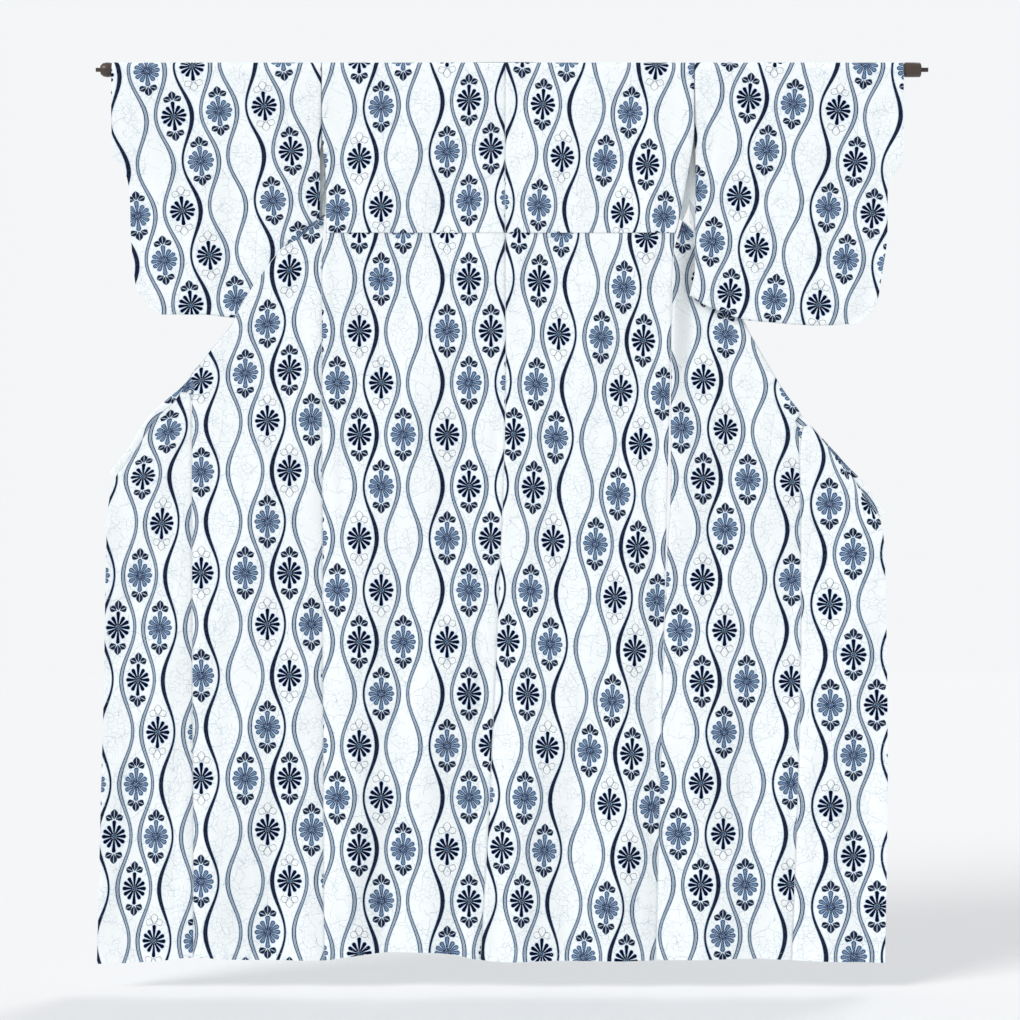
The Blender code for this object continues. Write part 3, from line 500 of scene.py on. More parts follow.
def crowded(count, pull=0.8):
    """Shares from 0 to 1 that stand closer together at both ends: t - pull sin(2 pi t) / 2 pi."""
    t = np.linspace(0, 1, count)
    return t - pull * np.sin(2 * math.pi * t) / (2 * math.pi)


def folds_at(x, z):
    """The large folds: each is a bell across its width that grows as it runs down."""
    y = np.zeros(np.broadcast(x, z).shape)
    for fold in FOLDS:
        grown = soft_step((fold.top * MM - z) / ((fold.top - fold.full) * MM))
        at = (fold.x + fold.lean * grown) * MM
        y += fold.depth * MM * grown * np.exp(-(((x - at) / (fold.half_width * MM)) ** 2))
    return y


def creases_at(table, x, z):
    """The small creases: each is a bell across its own line and fades towards both its ends."""
    y = np.zeros(np.broadcast(x, z).shape)
    for crease in table:
        turn = math.radians(crease.degrees)
        dx, dz = x - crease.x * MM, z - crease.z * MM
        along = -dx * math.sin(turn) + dz * math.cos(turn)
        across = dx * math.cos(turn) + dz * math.sin(turn)
        sway, sway_length = crease.half_width * CREASE_SWAY, crease.half_length * CREASE_SWAY_LENGTH
        wander = across + sway * MM * np.sin(along / (sway_length * MM))
        fade = np.clip(1 - (along / (crease.half_length * MM)) ** 2, 0, 1) ** 2
        y += crease.depth * MM * fade * np.exp(-((wander / (crease.half_width * MM)) ** 2))
    return y


def ripple_at(x, z, seed, strength):
    """The unevenness of washed cotton: a few waves in changing directions, from fixed numbers."""
    draw = np.random.default_rng(seed)
    y = np.zeros(np.broadcast(x, z).shape)
    for length in RIPPLE_LENGTHS:
        turn = draw.uniform(-RIPPLE_TURN, RIPPLE_TURN)
        phase, drift = draw.uniform(0, 2 * math.pi, 2)
        down, beside, pace = RIPPLE_BEND_WAY
        bent = (z * math.cos(turn) * down + x * beside) / length * pace
        bend = RIPPLE_BEND * np.sin(bent + drift)
        way = (x * math.cos(turn) + z * math.sin(turn)) / length
        wave = np.sin(way * 2 * math.pi + phase + bend)
        y += RIPPLE_HEIGHT * length / RIPPLE_LENGTHS[0] * wave / 2
    return y * strength


def chart_at(chart, x, z):
    """Print coordinates in metres, from the line's number and the share of the repeat there."""
    dx, dz = x / MM - chart.x, z / MM - chart.z
    spread = chart.fan * dx * np.clip(dz, 0, -chart.z)
    line = chart.line + (dx + chart.column_lean * dz + spread) / chart.pitch
    row = chart.row + (dz - chart.row_lean * dx) / chart.height
    sizes = bpy.context.scene.yukata_print
    return np.stack([line * sizes.line_pitch, row * sizes.repeat], -1)


# ---- surfaces: rows of points that run down a piece --------------------------------------------
# A surface is an array of rows, columns and four numbers: X, Y, Z and the height at which the point
# would be if the cloth were unfolded upwards from the rod's near side.
def over_rod(x, length, side, hang, radius=WRAP):
    """A point `length` of cloth past the crest: an arc round the rod and then a straight fall."""
    length = np.broadcast_to(length, np.shape(x))
    turn = np.clip(length / WRAP, 0, math.pi / 2)
    below = np.maximum(length - QUARTER_TURN, 0)
    y = side * (radius * np.sin(turn)) - side * hang * below
    unfolded = QUARTER_TURN + side * length
    return np.stack([x, y, radius * np.cos(turn) - below, unfolded], -1)


def refined(rows, step):
    """The same surface with more rows: smooth curves down each column, by cloth length."""
    rows = np.array(rows)
    middle = rows[:, rows.shape[1] // 2, :3]
    gone = np.concatenate([[0], np.cumsum(np.linalg.norm(np.diff(middle, axis=0), axis=1))])
    spans = [
        np.linspace(a, b, max(1, math.ceil((b - a) / step)) + 1)[:-1]
        for a, b in zip(gone[:-1], gone[1:])
    ]
    return curve(gone, rows, np.concatenate([*spans, gone[-1:]]))


def crest_lengths():
    return np.linspace(CREST_GAP / 2, QUARTER_TURN, CREST_ROWS)


def fineness():
    return bpy.context.scene.yukata_cloth.grid * 1


def columns(width):
    """How many columns a piece of this width gets."""
    return int(math.ceil(width / fineness())) + LEAST_COLUMNS


def hem_drop(x, z):
    """How far a row lies below its height: the hem's own line, less and less felt further up."""
    return (hem_at(HEM, x) - HEM_ROW) * np.clip((HEM_FELT - z) / (HEM_FELT - HEM_ROW), 0, 1)


def heights_to_hem(top):
    """Heights of rows from the top down to the hem, with two close together where the hem ends."""
    fold = HEM_ROW + bpy.context.scene.yukata_cloth.hem
    evenly = np.linspace(top, HEM_ROW, HEM_ROWS)
    return np.sort(np.concatenate([evenly, [fold - HEM_STEP, fold + HEM_STEP]]))[::-1]


def back_surface(half):
    """Half of the back, from the crest to the hem, with the tuck folded across it."""
    across = crowded(columns(BACK_WIDTH))

    def row_x(z):
        side = float(edge_at(half.back_side, z))
        centre = float(edge_at(CENTRE_SEAM, z)) + half.sign * SEAM / 2
        return side + (centre - side) * across

    rows = [over_rod(row_x(0.0), length, -1, 0.0) for length in crest_lengths()]
    for lie in BACK_LINE:
        x = row_x(lie.z * MM)
        z = lie.z * MM + hem_drop(x, lie.z * MM)
        unfolded = z + (lie.unfolded - lie.z) * MM
        rows.append(np.stack([x, np.full_like(x, lie.y * MM), z, unfolded], -1))
    return refined(rows, fineness())


def tucked_print(upper, lower, surface):
    """The upper chart above the tuck, the lower one below it, and a straight change inside it."""
    x, z, unfolded = surface[..., 0], surface[..., 2], surface[..., 3]
    above = chart_at(upper, x, np.maximum(unfolded, TUCK_LINE))
    below = chart_at(lower, x, np.minimum(z, TUCK_LINE))
    share = np.clip((TUCK_LINE - unfolded) / TUCK_TAKES, 0, 1)[..., None]
    return above + (below - above) * share


def through(rows, count):
    """Rows of a front, read from smooth curves through the table's rows."""
    step = np.linspace(0, len(rows) - 1, count)
    return curve(range(len(rows)), np.array(rows, float), step) * MM


def settle(start, end, t):
    """A depth that goes softly from start to end as t runs down to the hem."""
    return start + (end - start) * soft_step(t / LIES_FLAT_BY)


def back_line(z):
    """Y of the middle of the back below the tuck, where it has no folds."""
    low = BACK_LINE[ROWS_TO_TUCK:]
    return curve([lie.z for lie in low], [lie.y for lie in low], np.asarray(z) / MM) * MM


def front_surface(half):
    """A front, from the crest down the far side, past the slit under the arm, to the hem."""
    across = crowded(columns(FRONT_WIDTH))
    rows = []
    for length in [*crest_lengths(), *(QUARTER_TURN + drop for drop in FAR_DROPS)]:
        side = float(edge_at(half.far_side, min(0.0, QUARTER_TURN - length)))
        inner = float(edge_at(half.neckline, length))
        rows.append(over_rod(side + (inner - side) * across, length, 1, FAR_HANG))
    for s_x, s_y, s_z, e_x, e_y, e_z in through(half.front, 2 * len(half.front) - 1):
        rise = across
        if half.sign > 0:
            width = abs(e_x - s_x)
            evens_at, evens_over = RIGHT_FRONT_EVENS
            bent = soft_step((width - SLEEVE_CLEAR) / SLEEVE_CLEAR)
            bent *= 1 - soft_step((evens_at - s_z) / evens_over)
            rise = across + bent * (soft_step(across * width / SLEEVE_CLEAR) - across)
        x = s_x + (e_x - s_x) * across
        z = s_z + (e_z - s_z) * across
        rows.append(np.stack([x, s_y + (e_y - s_y) * rise, z, QUARTER_TURN * 2 - z], -1))
    start = half.front[-1]
    top = start.side_z * MM
    ease = start.side_y * MM - float(back_line(top))
    for z in heights_to_hem(top)[1:]:
        t = (z - top) / (HEM_ROW - top)
        side = float(edge_at(half.back_side, z)) + half.sign * SEAM
        seam = float(edge_at(half.okumi_seam, z))
        x = side + (seam - side) * across
        zs = z + hem_drop(x, z)
        side_y = float(back_line(z)) + ease * (1 - t)
        y = side_y + (settle(start.edge_y * MM, FRONT_EDGE_LIES, t) - side_y) * across
        rows.append(np.stack([x, y, zs, QUARTER_TURN * 2 - zs], -1))
    surface = refined(rows, fineness())
    turn = int(np.argmax(surface[:, 0, 2] < GATHER_TURN))
    just_before = surface[turn] + (surface[turn - 1] - surface[turn]) * TURN_STEP
    return np.insert(surface, turn, just_before, axis=0)


def beside_slant(half, surface, reach):
    """1 on the slanting edge's line, a decaying exponential of the distance inwards from it."""
    x, z = surface[..., 0], surface[..., 2]
    top, corner = half.front[SLANT_TOP], half.okumi_corner.z * MM
    start = np.array([top.edge_x, top.edge_z]) * MM
    way = unit(np.array([float(edge_at(half.free_edge, corner)), corner]) - start)
    inwards = np.maximum(half.sign * (way[1] * (x - start[0]) - way[0] * (z - start[1])), 0)
    ends = soft_step((z - corner + DROOP_ENDS) / (2 * DROOP_ENDS))
    grown = DROOP_LEAST + (1 - DROOP_LEAST) * soft_step((start[1] - z) / DROOP_GROWS)
    return np.exp(-inwards / reach) * ends * grown


def drooped(half, surface, share=1.0):
    """Heights at which the print is read, raised beside the slanting edge."""
    return surface[..., 2] + share * DROOP * beside_slant(half, surface, DROOP_REACH)


def okumi_print(chart, half, surface):
    """The okumi's chart, drooping and pulled aside beside the slanting edge."""
    pull = half.edge_pull * beside_slant(half, surface, PULL_REACH)
    return chart_at(chart, surface[..., 0] + pull, drooped(half, surface, half.okumi_droop))


def front_print(far, open_front, half, surface):
    """The shoulder's chart on the far side and the open front's own once the cloth turns over."""
    x, unfolded = surface[..., 0], surface[..., 3]
    turn = int(np.argmax(surface[:, 0, 2] < GATHER_TURN))
    shown = np.arange(len(surface))[:, None, None] > turn - 1
    opened = chart_at(open_front, x, drooped(half, surface))
    return np.where(shown, opened, chart_at(far, x, unfolded))


def okumi_surface(half):
    """The narrow panel sewn to a front, from its point under the collar to the hem."""
    across = crowded(columns(OKUMI_WIDTH))
    top = half.free_edge[0].z * MM
    corner = half.okumi_corner
    rows = []
    down_to_corner = np.linspace(top, corner.z * MM, OKUMI_CORNER_ROW + 1)
    for z in [*down_to_corner, *heights_to_hem(corner.z * MM)[1:]]:
        seam = float(edge_at(half.okumi_seam, z)) + half.sign * SEAM
        x = seam + (float(edge_at(half.free_edge, z)) - seam) * across
        zs = z + hem_drop(x, z)
        t = (z - top) / (HEM_ROW - top)
        at_seam = settle(corner.seam_y * MM, FRONT_EDGE_LIES, t)
        at_free = settle(corner.free_y * MM, FREE_EDGE_LIES, t)
        y = at_seam + (at_free - at_seam) * across * soft_step((top - z) / OKUMI_OPENS)
        rows.append(np.stack([x, y, zs, zs], -1))
    return refined(rows, fineness())


def half_space(z):
    """Half the space between a sleeve's layers at a height."""
    taken_in = np.clip(z / SLEEVE_TAPER_END, 0, 1) ** SLEEVE_TAPER_POWER
    return WRAP + (SLEEVE_HALF_BOTTOM - WRAP) * taken_in


def sleeve_row(inner, outer, side, across, z, half):
    """A row of a sleeve layer, which meets the other one at the seam under the mouth."""
    start, end = edge_at(inner, z), edge_at(outer, z)
    x = start + (end - start) * across
    sewn = soft_step((MOUTH_LOW - z) / MOUTH_SHUTS)
    shut = 1 - sewn * (1 - soft_step(abs(end - x) / MOUTH_PINCH))
    y = side * np.maximum(half * shut, CLOTH / 2 + LAYER_HALF_GAP)
    return np.stack([x, y, z, -side * z + (QUARTER_TURN * 2 if side > 0 else 0)], -1)


def sleeve_surface(inner, outer, side):
    """One layer of a sleeve, from the crest of the rod to the rolled seam at its bottom."""
    across = crowded(columns(SLEEVE_WIDTH))
    low_in, low_out = float(edge_at(inner, SLEEVE_READ)), float(edge_at(outer, SLEEVE_READ))
    bottom = hem_at(SLEEVE_BOTTOM, low_in + (low_out - low_in) * across)
    top_in, top_out = float(edge_at(inner, 0.0)), float(edge_at(outer, 0.0))
    top = top_in + (top_out - top_in) * across
    rows = [over_rod(top, length, side, 0.0) for length in crest_lengths()]
    for share in np.linspace(*SLEEVE_SHARES, SLEEVE_ROWS):
        z = bottom * share
        rows.append(sleeve_row(inner, outer, side, across, z, half_space(z)))
    for turn in np.linspace(0, ROLL_END, ROLL_ROWS):
        z = bottom + BOTTOM_ROLL * (1 - math.sin(turn))
        rows.append(sleeve_row(inner, outer, side, across, z, half_space(z) * math.cos(turn)))
    return refined(rows, fineness())


def unit(vectors):
    return vectors / np.linalg.norm(vectors, axis=-1, keepdims=True)


Slant = namedtuple("Slant", "edge way outwards along first last corner")


def slanting_edge(front, okumi, half):
    """The edge that the collar follows, from the neck down a front and its okumi to the corner.

    Outwards is the way each row of the front runs, less its part along the edge. Lengths along the
    edge are in millimetres from the slit under the arm.
    """
    first = int(np.argmax(front[:, -1, 3] >= QUARTER_TURN * 2 + FAR_DROPS[-1]))
    last = int(np.argmax(front[:, -1, 2] < half.front[-1].edge_z * MM))
    corner = int(np.argmax(okumi[:, -1, 2] < half.okumi_corner.z * MM)) + 1
    quarter_in = -1 - front.shape[1] // 4
    edge = np.concatenate([front[first:last, -1, :3], okumi[OKUMI_JOINS:corner, -1, :3]])
    inside = np.concatenate([front[first:last, quarter_in, :3], okumi[OKUMI_JOINS:corner, 0, :3]])
    way = unit(np.gradient(edge, axis=0))
    outwards = unit(edge - inside)
    outwards = unit(outwards - way * (outwards * way).sum(1, keepdims=True))
    gone = np.concatenate([[0], np.cumsum(np.linalg.norm(np.diff(edge, axis=0), axis=1))])
    turned = int(np.argmin(abs(front[first:last, -1, 0] - front[first:last, 0, 0])))
    return Slant(edge, way, outwards, (gone - gone[turned]) / MM, first, last, corner)


def collar_reach(along):
    """How far in the collar starts, how far out it reaches and how far behind it lies, metres."""
    lengths = [reach.length for reach in COLLAR_REACH]
    return [curve(lengths, [reach[k] for reach in COLLAR_REACH], along) * MM for k in (1, 2, 3)]


def collar_side(front, okumi, half):
    """Rows across the collar along one slanting edge. It lies on the wrong side of the cloth, which
    is the way out turned round the edge."""
    slant = slanting_edge(front, okumi, half)
    wrong_side = -half.sign * np.cross(slant.way, slant.outwards)
    inner, outer, behind = (each[:, None, None] for each in collar_reach(slant.along))
    reach = inner + (outer - inner) * np.linspace(0, 1, COLLAR_COLUMNS)[None, :, None]
    return slant.edge[:, None] + slant.outwards[:, None] * reach + wrong_side[:, None] * behind


def over_collar(front, okumi, half):
    """The front and its okumi with the front's slanting edge drawn out, so that the cloth hides all
    but COLLAR_PEEPS of the collar there: a bell across the cloth, gone where the okumi begins."""
    slant = slanting_edge(front, okumi, half)
    rows = slant.last - slant.first
    start, over = COVER_STARTS
    drawn = collar_reach(slant.along)[1] - COLLAR_PEEPS
    drawn *= soft_step((slant.along * MM - start) / over)
    past_top = (slant.along - slant.along[rows]) * MM
    drawn *= 1 - soft_step((past_top + COVER_ENDS) / (COVER_ENDS + half.collar_seen))
    shift = slant.outwards * drawn[:, None]
    for surface, where, moved in (
        (front, slice(slant.first, slant.last), shift[:rows]),
        (okumi, slice(OKUMI_JOINS, slant.corner), shift[rows:]),
    ):
        near = np.exp(-((edge_distance(surface, "last")[where] / COVER_REACH) ** 2))
        surface[where, :, :3] += moved[:, None] * near[..., None]
    return front, okumi


def neck_rows():
    """Rows across the collar round the back of the neck, on the far side, between the fronts."""
    lengths = [*crest_lengths(), *(QUARTER_TURN + drop for drop in FAR_DROPS)]
    sides = [
        [(float(edge_at(line, a)), a) for a in lengths] for line in (LEFT_NECKLINE, RIGHT_NECKLINE)
    ]
    middle = [(x, CREST_GAP / 2) for x in NECK_MIDDLE]
    path = np.array(sides[0][::-1] + middle + sides[1])
    way = unit(np.diff(path, axis=0))
    way = np.concatenate([way[:1], way[1:] + way[:-1], way[-1:]])
    for _ in range(NECK_SMOOTHINGS):
        way[1:-1] = way[1:-1] * 2 + way[:-2] + way[2:]
        way = unit(way)
    out = np.stack([-way[:, 1], way[:, 0]], -1)
    reach = np.linspace(2 * SEAM, COLLAR_REACH[0].outer * MM, COLLAR_COLUMNS)[:, None]
    rows = []
    for point, outwards in zip(path[1:-1], out[1:-1]):
        at = point + outwards * reach
        rows.append(over_rod(at[:, 0], np.maximum(at[:, 1], SEAM), 1, FAR_HANG, COLLAR_WRAP)[:, :3])
    return np.array(rows)


def collar_surface():
    """The whole band, from the left corner up, round the back of the neck and down to the right."""
    left, right = (
        collar_side(hung(front_surface(half), "front"), hung(okumi_surface(half), "body"), half)
        for half in (LEFT_HALF, RIGHT_HALF)
    )
    band = np.concatenate([left[::-1], neck_rows(), right])
    keep = np.concatenate([[True], np.linalg.norm(np.diff(band[:, 0], axis=0), axis=1) > CREST_GAP])
    return refined(band[keep], fineness() * COLLAR_FINER)


# ---- how the cloth hangs ------------------------------------------------------------------------
def hung(surface, place):
    """The surface with its folds, creases and unevenness, none of them near the rod or a seam bend.

    place is "body" for what faces the viewer, "front" for the fronts, which start on the far side,
    and "sleeve" for a sleeve's layers.
    """
    x, y, z = (surface[..., k] for k in range(3))
    far = surface[..., 3] > QUARTER_TURN
    rod_ends, rod_fades = ROD_CLEARS
    clear_of_rod = soft_step((-z - rod_ends) / rod_fades)
    if place == "sleeve":
        bottom = hem_at(SLEEVE_BOTTOM, x)
        free = clear_of_rod * soft_step((z - bottom - BOTTOM_ROLL) / BOTTOM_CLEARS)
        free = free * soft_step((abs(y) - CLOTH) / LAYERS_PART)
        near = creases_at(SLEEVE_CREASES, x, z) + ripple_at(x, z, *SLEEVE_RIPPLE)
        away = creases_at(FAR_CREASES, x, z) + ripple_at(x, z, *FAR_SLEEVE_RIPPLE)
        moved = np.where(far, away, near) * free
    else:
        shown = creases_at(BODY_CREASES, x, z) + ripple_at(x, z, *BODY_RIPPLE)
        moved = shown * clear_of_rod + folds_at(x, z)
        if place == "front":
            folds_start, folds_over = OPEN_FRONT_FOLDS
            shoulder_ends, shoulder_fades = SHOULDER_ENDS
            hidden = creases_at(FAR_CREASES, x, z) + ripple_at(x, z, *FAR_FRONT_RIPPLE)
            hidden = hidden * clear_of_rod * (1 - soft_step((shoulder_ends - z) / shoulder_fades))
            moved = moved * soft_step((folds_start - z) / folds_over)
            moved = np.where(z > folds_start, hidden, moved)
    out = surface.copy()
    out[..., 1] += moved
    return out


def edge_distance(surface, edge):
    """Distance in the cloth from a surface's "first" or "last" column, or from its "hem"."""
    points = surface[..., :3]
    if edge == "hem":
        steps = np.linalg.norm(np.diff(points, axis=0), axis=-1)
        gone = np.concatenate([np.zeros_like(steps[:1]), np.cumsum(steps, axis=0)])
        return gone[-1:] - gone
    steps = np.linalg.norm(np.diff(points, axis=1), axis=-1)
    gone = np.concatenate([np.zeros_like(steps[:, :1]), np.cumsum(steps, axis=1)], axis=1)
    return gone if edge == "first" else gone[:, -1:] - gone


def sewn(surface, inwards, edges, sewn_here=1.0):
    """The surface with its sewn edges drawn in to the wrong side: a bell as wide as a seam's turn.

    inwards is +1 or -1 along Y, and sewn_here is how much of that each point gets.
    """
    sizes = bpy.context.scene.yukata_cloth
    out = surface.copy()
    for edge in edges:
        near = np.exp(-((edge_distance(surface, edge) / sizes.seam_width) ** 2))
        out[..., 1] += inwards * sizes.seam_depth * near * sewn_here
    return out


def drawn_shut(surface, distance, bottom):
    """A far layer with its first edge drawn along X behind the slit: a bell across the cloth, gone
    above the slit and below bottom."""
    z = surface[..., 2]
    shows = soft_step((SLIT_STARTS - z) / SLIT_FADES) * soft_step(2 * (z - bottom) / SLIT_FADES)
    out = surface.copy()
    out[..., 0] += distance * shows * np.exp(-((edge_distance(surface, "first") / SHUT_REACH) ** 2))
    return out


def painted_seam_shade(surface, edges, sewn_here=1.0):
    """Painted shade: 1 in the narrow ditch of a sewn edge and 0 away from it, a bell across the
    seam.
    """
    width = bpy.context.scene.yukata_cloth.seam_shade_width
    bells = [np.exp(-((edge_distance(surface, edge) / width) ** 2)) for edge in edges]
    return np.max(bells, axis=0) * sewn_here


def hemmed(surface, edges):
    """Thickness of the cloth: plain, and thicker by the turned cloth within a hem of its edges."""
    sizes = bpy.context.scene.yukata_cloth
    turned = np.zeros(surface.shape[:2])
    for edge in edges:
        width = sizes.hem if edge == "hem" else sizes.side_hem
        within = soft_step((width + HEM_STEP - edge_distance(surface, edge)) / (2 * HEM_STEP))
        turned = np.maximum(turned, within)
    return sizes.thickness * (1 + turned)


# ---- meshes -------------------------------------------------------------------------------------
def grid_faces(rows, count):
    """Four-cornered faces of a grid whose points are numbered row by row."""
    index = np.arange(rows * count).reshape(rows, count)
    corners = [index[:-1, :-1], index[1:, :-1], index[1:, 1:], index[:-1, 1:]]
    rim = np.concatenate([index[0, :-1], index[:-1, -1], index[-1, :0:-1], index[:0:-1, 0]])
    return np.stack(corners, -1).reshape(-1, 4), rim


def signed_volume(points, faces):
    a, b, c, d = (points[faces[:, k]] for k in range(4))
    return (np.cross(a, b) * c).sum() + (np.cross(a, c) * d).sum()


def cloth_shell(name, surface, print_at, thickness, outside, finishes, seam_shade):
    """A closed thin shell round a surface: each point moved out half the thickness to both sides.

    outside is +1 where rows down crossed with columns along points to the cloth's right side. The
    finishes read the print's coordinates and the painted shade beside the seams from two UV maps.
    """
    middle = surface[..., :3]
    down, along = np.gradient(middle, axis=0), np.gradient(middle, axis=1)
    normal = unit(np.cross(down, along))
    half = np.broadcast_to(thickness, middle.shape[:2])[..., None] / 2
    points = np.concatenate([
        (middle + normal * half * outside).reshape(-1, 3),
        (middle - normal * half * outside).reshape(-1, 3),
    ])
    quads, rim = grid_faces(*middle.shape[:2])
    count = middle.shape[0] * middle.shape[1]
    after = np.roll(rim, -1)
    sides = np.stack([rim, after, after + count, rim + count], -1)
    faces = np.concatenate([quads, quads[:, ::-1] + count, sides])
    if signed_volume(points, faces) < 0:
        faces = faces[:, ::-1]
    finish = np.concatenate([np.zeros(len(quads)), np.ones(len(quads)), np.zeros(len(sides))])
    seam_shade_at = np.stack([seam_shade, np.zeros_like(seam_shade)], -1)
    maps = {
        "Cloth": np.concatenate([print_at.reshape(-1, 2)] * 2),
        "Ditch": np.concatenate([seam_shade_at.reshape(-1, 2)] * 2),
    }
    return new_object(name, points, faces, finishes, finish.astype(int), maps)


def new_object(name, points, faces, finishes, finish=None, maps=None, sharp=50):
    """A mesh object at the origin, smooth but for rims that are sharper than `sharp` degrees."""
    mesh = bpy.data.meshes.new(name)
    mesh.from_pydata(points.tolist(), [], faces if isinstance(faces, list) else faces.tolist())
    for each in finishes:
        mesh.materials.append(each)
    if finish is not None:
        mesh.polygons.foreach_set("material_index", finish)
    for map_name, at in (maps or {}).items():
        layer = mesh.uv_layers.new(name=map_name)
        layer.uv.foreach_set("vector", at[faces.ravel()].astype(np.float32).ravel())
    mesh.shade_smooth()
    mesh.set_sharp_from_angle(angle=math.radians(sharp))
    thing = bpy.data.objects.new(name, mesh)
    bpy.context.scene.collection.objects.link(thing)
    return thing


# ---- sizes and colours that a user would change -------------------------------------------------
def colour(name, description, default):
    return FloatVectorProperty(
        name=name, description=description, subtype="COLOR", size=3, min=0, max=1, default=default
    )


def length(name, description, default, least=0.0, most=2.0):
    return FloatProperty(
        name=name, description=description, default=default, min=least, max=most,
        subtype="DISTANCE", unit="LENGTH", precision=5,
    )


def share(name, description, default, most=1.0):
    return FloatProperty(
        name=name, description=description, default=default, min=0, max=most, subtype="FACTOR"
    )


class YukataPrint(bpy.types.PropertyGroup):
    """The dyed print: wavy lines up the bolt, with flowers between them."""

    line_pitch: length("Line Pitch", "From one wavy line to the next", 0.0381, 0.01)
    repeat: length("Repeat", "Height after which the print starts again", 0.360, 0.05)
    sway: length("Sway", "How far a line sways to each side", 0.0113)
    flower: length("Flower Width", "Across a flower's side petals", 0.0430, 0.01)
    leaf: length("Leaf", "Length of an upright leaf", 0.0180, 0.002)
    ground: colour("Ground", "Undyed cotton", (0.885, 0.918, 0.918))
    ink: colour("Ink", "Indigo of the lines, petals and leaves", (0.0012, 0.0038, 0.0240))
    spotted: colour("Spotted Petals", "Lighter indigo under white spots", (0.004, 0.016, 0.070))
    halo: colour("Bleed", "Dye that ran out round the print", (0.220, 0.470, 0.780))
    crackle: colour("Crackle", "Dye in the fine cracks of the wax", (0.130, 0.280, 0.400))
    crackle_strength: share("Crackle Strength", "How strongly the cracks show", 0.48)
    wrong_side: share("Wrong Side", "How much of the print shows on the wrong side", 0.42)


class YukataCloth(bpy.types.PropertyGroup):
    """The cotton, its seams and its hems."""

    grid: length("Grid", "Distance between the points of the cloth", 0.0050, 0.002)
    thickness: length("Thickness", "Thickness of one layer of cotton", 0.0006, 0.0002, 0.0012)
    hem: length("Hem", "Height of the turned hem at the bottom", 0.0120, 0.004)
    side_hem: length("Side Hem", "Width of the turned hem at a free side", 0.0080, 0.004)
    seam_width: length("Seam Width", "Reach of the hollow along a seam", 0.0030, 0.001)
    seam_depth: length("Seam Depth", "Depth of the hollow along a seam", 0.0009, 0.0, 0.002)
    # The painted shade in the seams' ditches: how far it reaches and how dark it is
    seam_shade_width: length("Painted Shade Width", "Reach of the dark line in a seam", 0.0013, 0.0005)
    seam_shade_strength: share("Painted Shade Strength", "How dark the line in a seam is", 0.36)
    collar_thickness: length(
        "Collar Thickness", "Folded cotton of the collar", 0.0018, 0.0005, 0.0024
    )
    stitch: length("Stitch", "Length of a hem stitch", 0.0030, 0.001)
    stitch_pitch: length("Stitch Pitch", "From one hem stitch to the next", 0.0120, 0.004)
    roughness: share("Roughness", "Roughness of the cotton", 0.88)
    rib: share("Rib", "Strength of the weave's ribs", 0.35)
    thread: colour("Thread", "Sewing thread", (0.76, 0.82, 0.85))


class YukataRod(bpy.types.PropertyGroup):
    """The lacquered rod."""

    lacquer: colour("Lacquer", "Colour of the rod", (0.010, 0.008, 0.008))
    wear: colour("Worn Lacquer", "Colour where the rod is rubbed", (0.060, 0.038, 0.028))
    roughness: share("Roughness", "Roughness of the lacquer", 0.22)


class YukataStage(bpy.types.PropertyGroup):
    """The floor, the lights and the camera."""

    floor: colour("Floor", "Pale plain floor", (0.78, 0.78, 0.78))
    room: colour("Room", "Colour of the soft light from all round", (0.95, 0.97, 1.00))
    backdrop: colour("Backdrop", "What shows behind the robe", (0.905, 0.920, 0.930))
    room_light: share("Room Light", "Strength of the light from all round", 0.76, 5.0)
    light: share("Window Light", "Strength of the light from one side", 1.6, 20.0)
    distance: length("Distance", "From the camera to the rod", 4.6, 1.0, 20.0)
    frame_width: length("Frame Width", "Width of the picture at the rod", 1.775, 0.5, 10.0)


# ---- shader nodes -------------------------------------------------------------------------------
class Number:
    """A node's output or a plain number. Its sums and products are made as Math nodes."""

    def __init__(self, tree, source):
        self.tree, self.source = tree, source

    def by(self, operation, *others):
        node = self.tree.nodes.new("ShaderNodeMath")
        node.operation = operation
        for socket, value in zip(node.inputs, (self, *others)):
            feed(self.tree, value, socket)
        return Number(self.tree, node.outputs[0])

    def __rsub__(self, other):
        return Number(self.tree, other).by("SUBTRACT", self)

    def held(self):
        """Held between 0 and 1."""
        return self.by("MAXIMUM", 0).by("MINIMUM", 1)

    def squared(self):
        return self.by("POWER", 2.0)

    def root(self):
        return self.by("SQRT")

    def falls(self, start, end):
        """Goes softly from 1 at start to 0 at end."""
        node = self.tree.nodes.new("ShaderNodeMapRange")
        node.interpolation_type = "SMOOTHSTEP"
        ends = {"From Min": start, "From Max": end, "To Min": 1.0, "To Max": 0.0}
        for name, value in {"Value": self, **ends}.items():
            feed(self.tree, value, node.inputs[name])
        return Number(self.tree, node.outputs["Result"])


# What is left by cycle, after whole lengths are taken away, is never less than 0
for method, operation in {
    "__add__": "ADD", "__radd__": "ADD", "__sub__": "SUBTRACT", "__mul__": "MULTIPLY",
    "__truediv__": "DIVIDE", "__abs__": "ABSOLUTE", "floor": "FLOOR", "cycle": "FLOORED_MODULO",
    "above": "GREATER_THAN", "below": "LESS_THAN", "least": "MINIMUM", "most": "MAXIMUM",
    "power": "POWER",
}.items():
    setattr(Number, method, partialmethod(Number.by, operation))


def feed(tree, value, socket):
    """Puts a number, colour or node's output into a socket."""
    if isinstance(value, Number):
        value = value.source
    if isinstance(value, bpy.types.NodeSocket):
        tree.links.new(value, socket)
    elif hasattr(value, "__len__") and len(value) == 3 and len(socket.default_value) == 4:
        socket.default_value = (*value, 1)
    else:
        socket.default_value = value


def add_node(tree, kind, settings=None, **inputs):
    """A node with its settings and inputs, whose names have _ for spaces."""
    node = tree.nodes.new(kind)
    for name, value in (settings or {}).items():
        setattr(node, name, value)
    for name, value in inputs.items():
        feed(tree, value, node.inputs[name.replace("_", " ")])
    return node


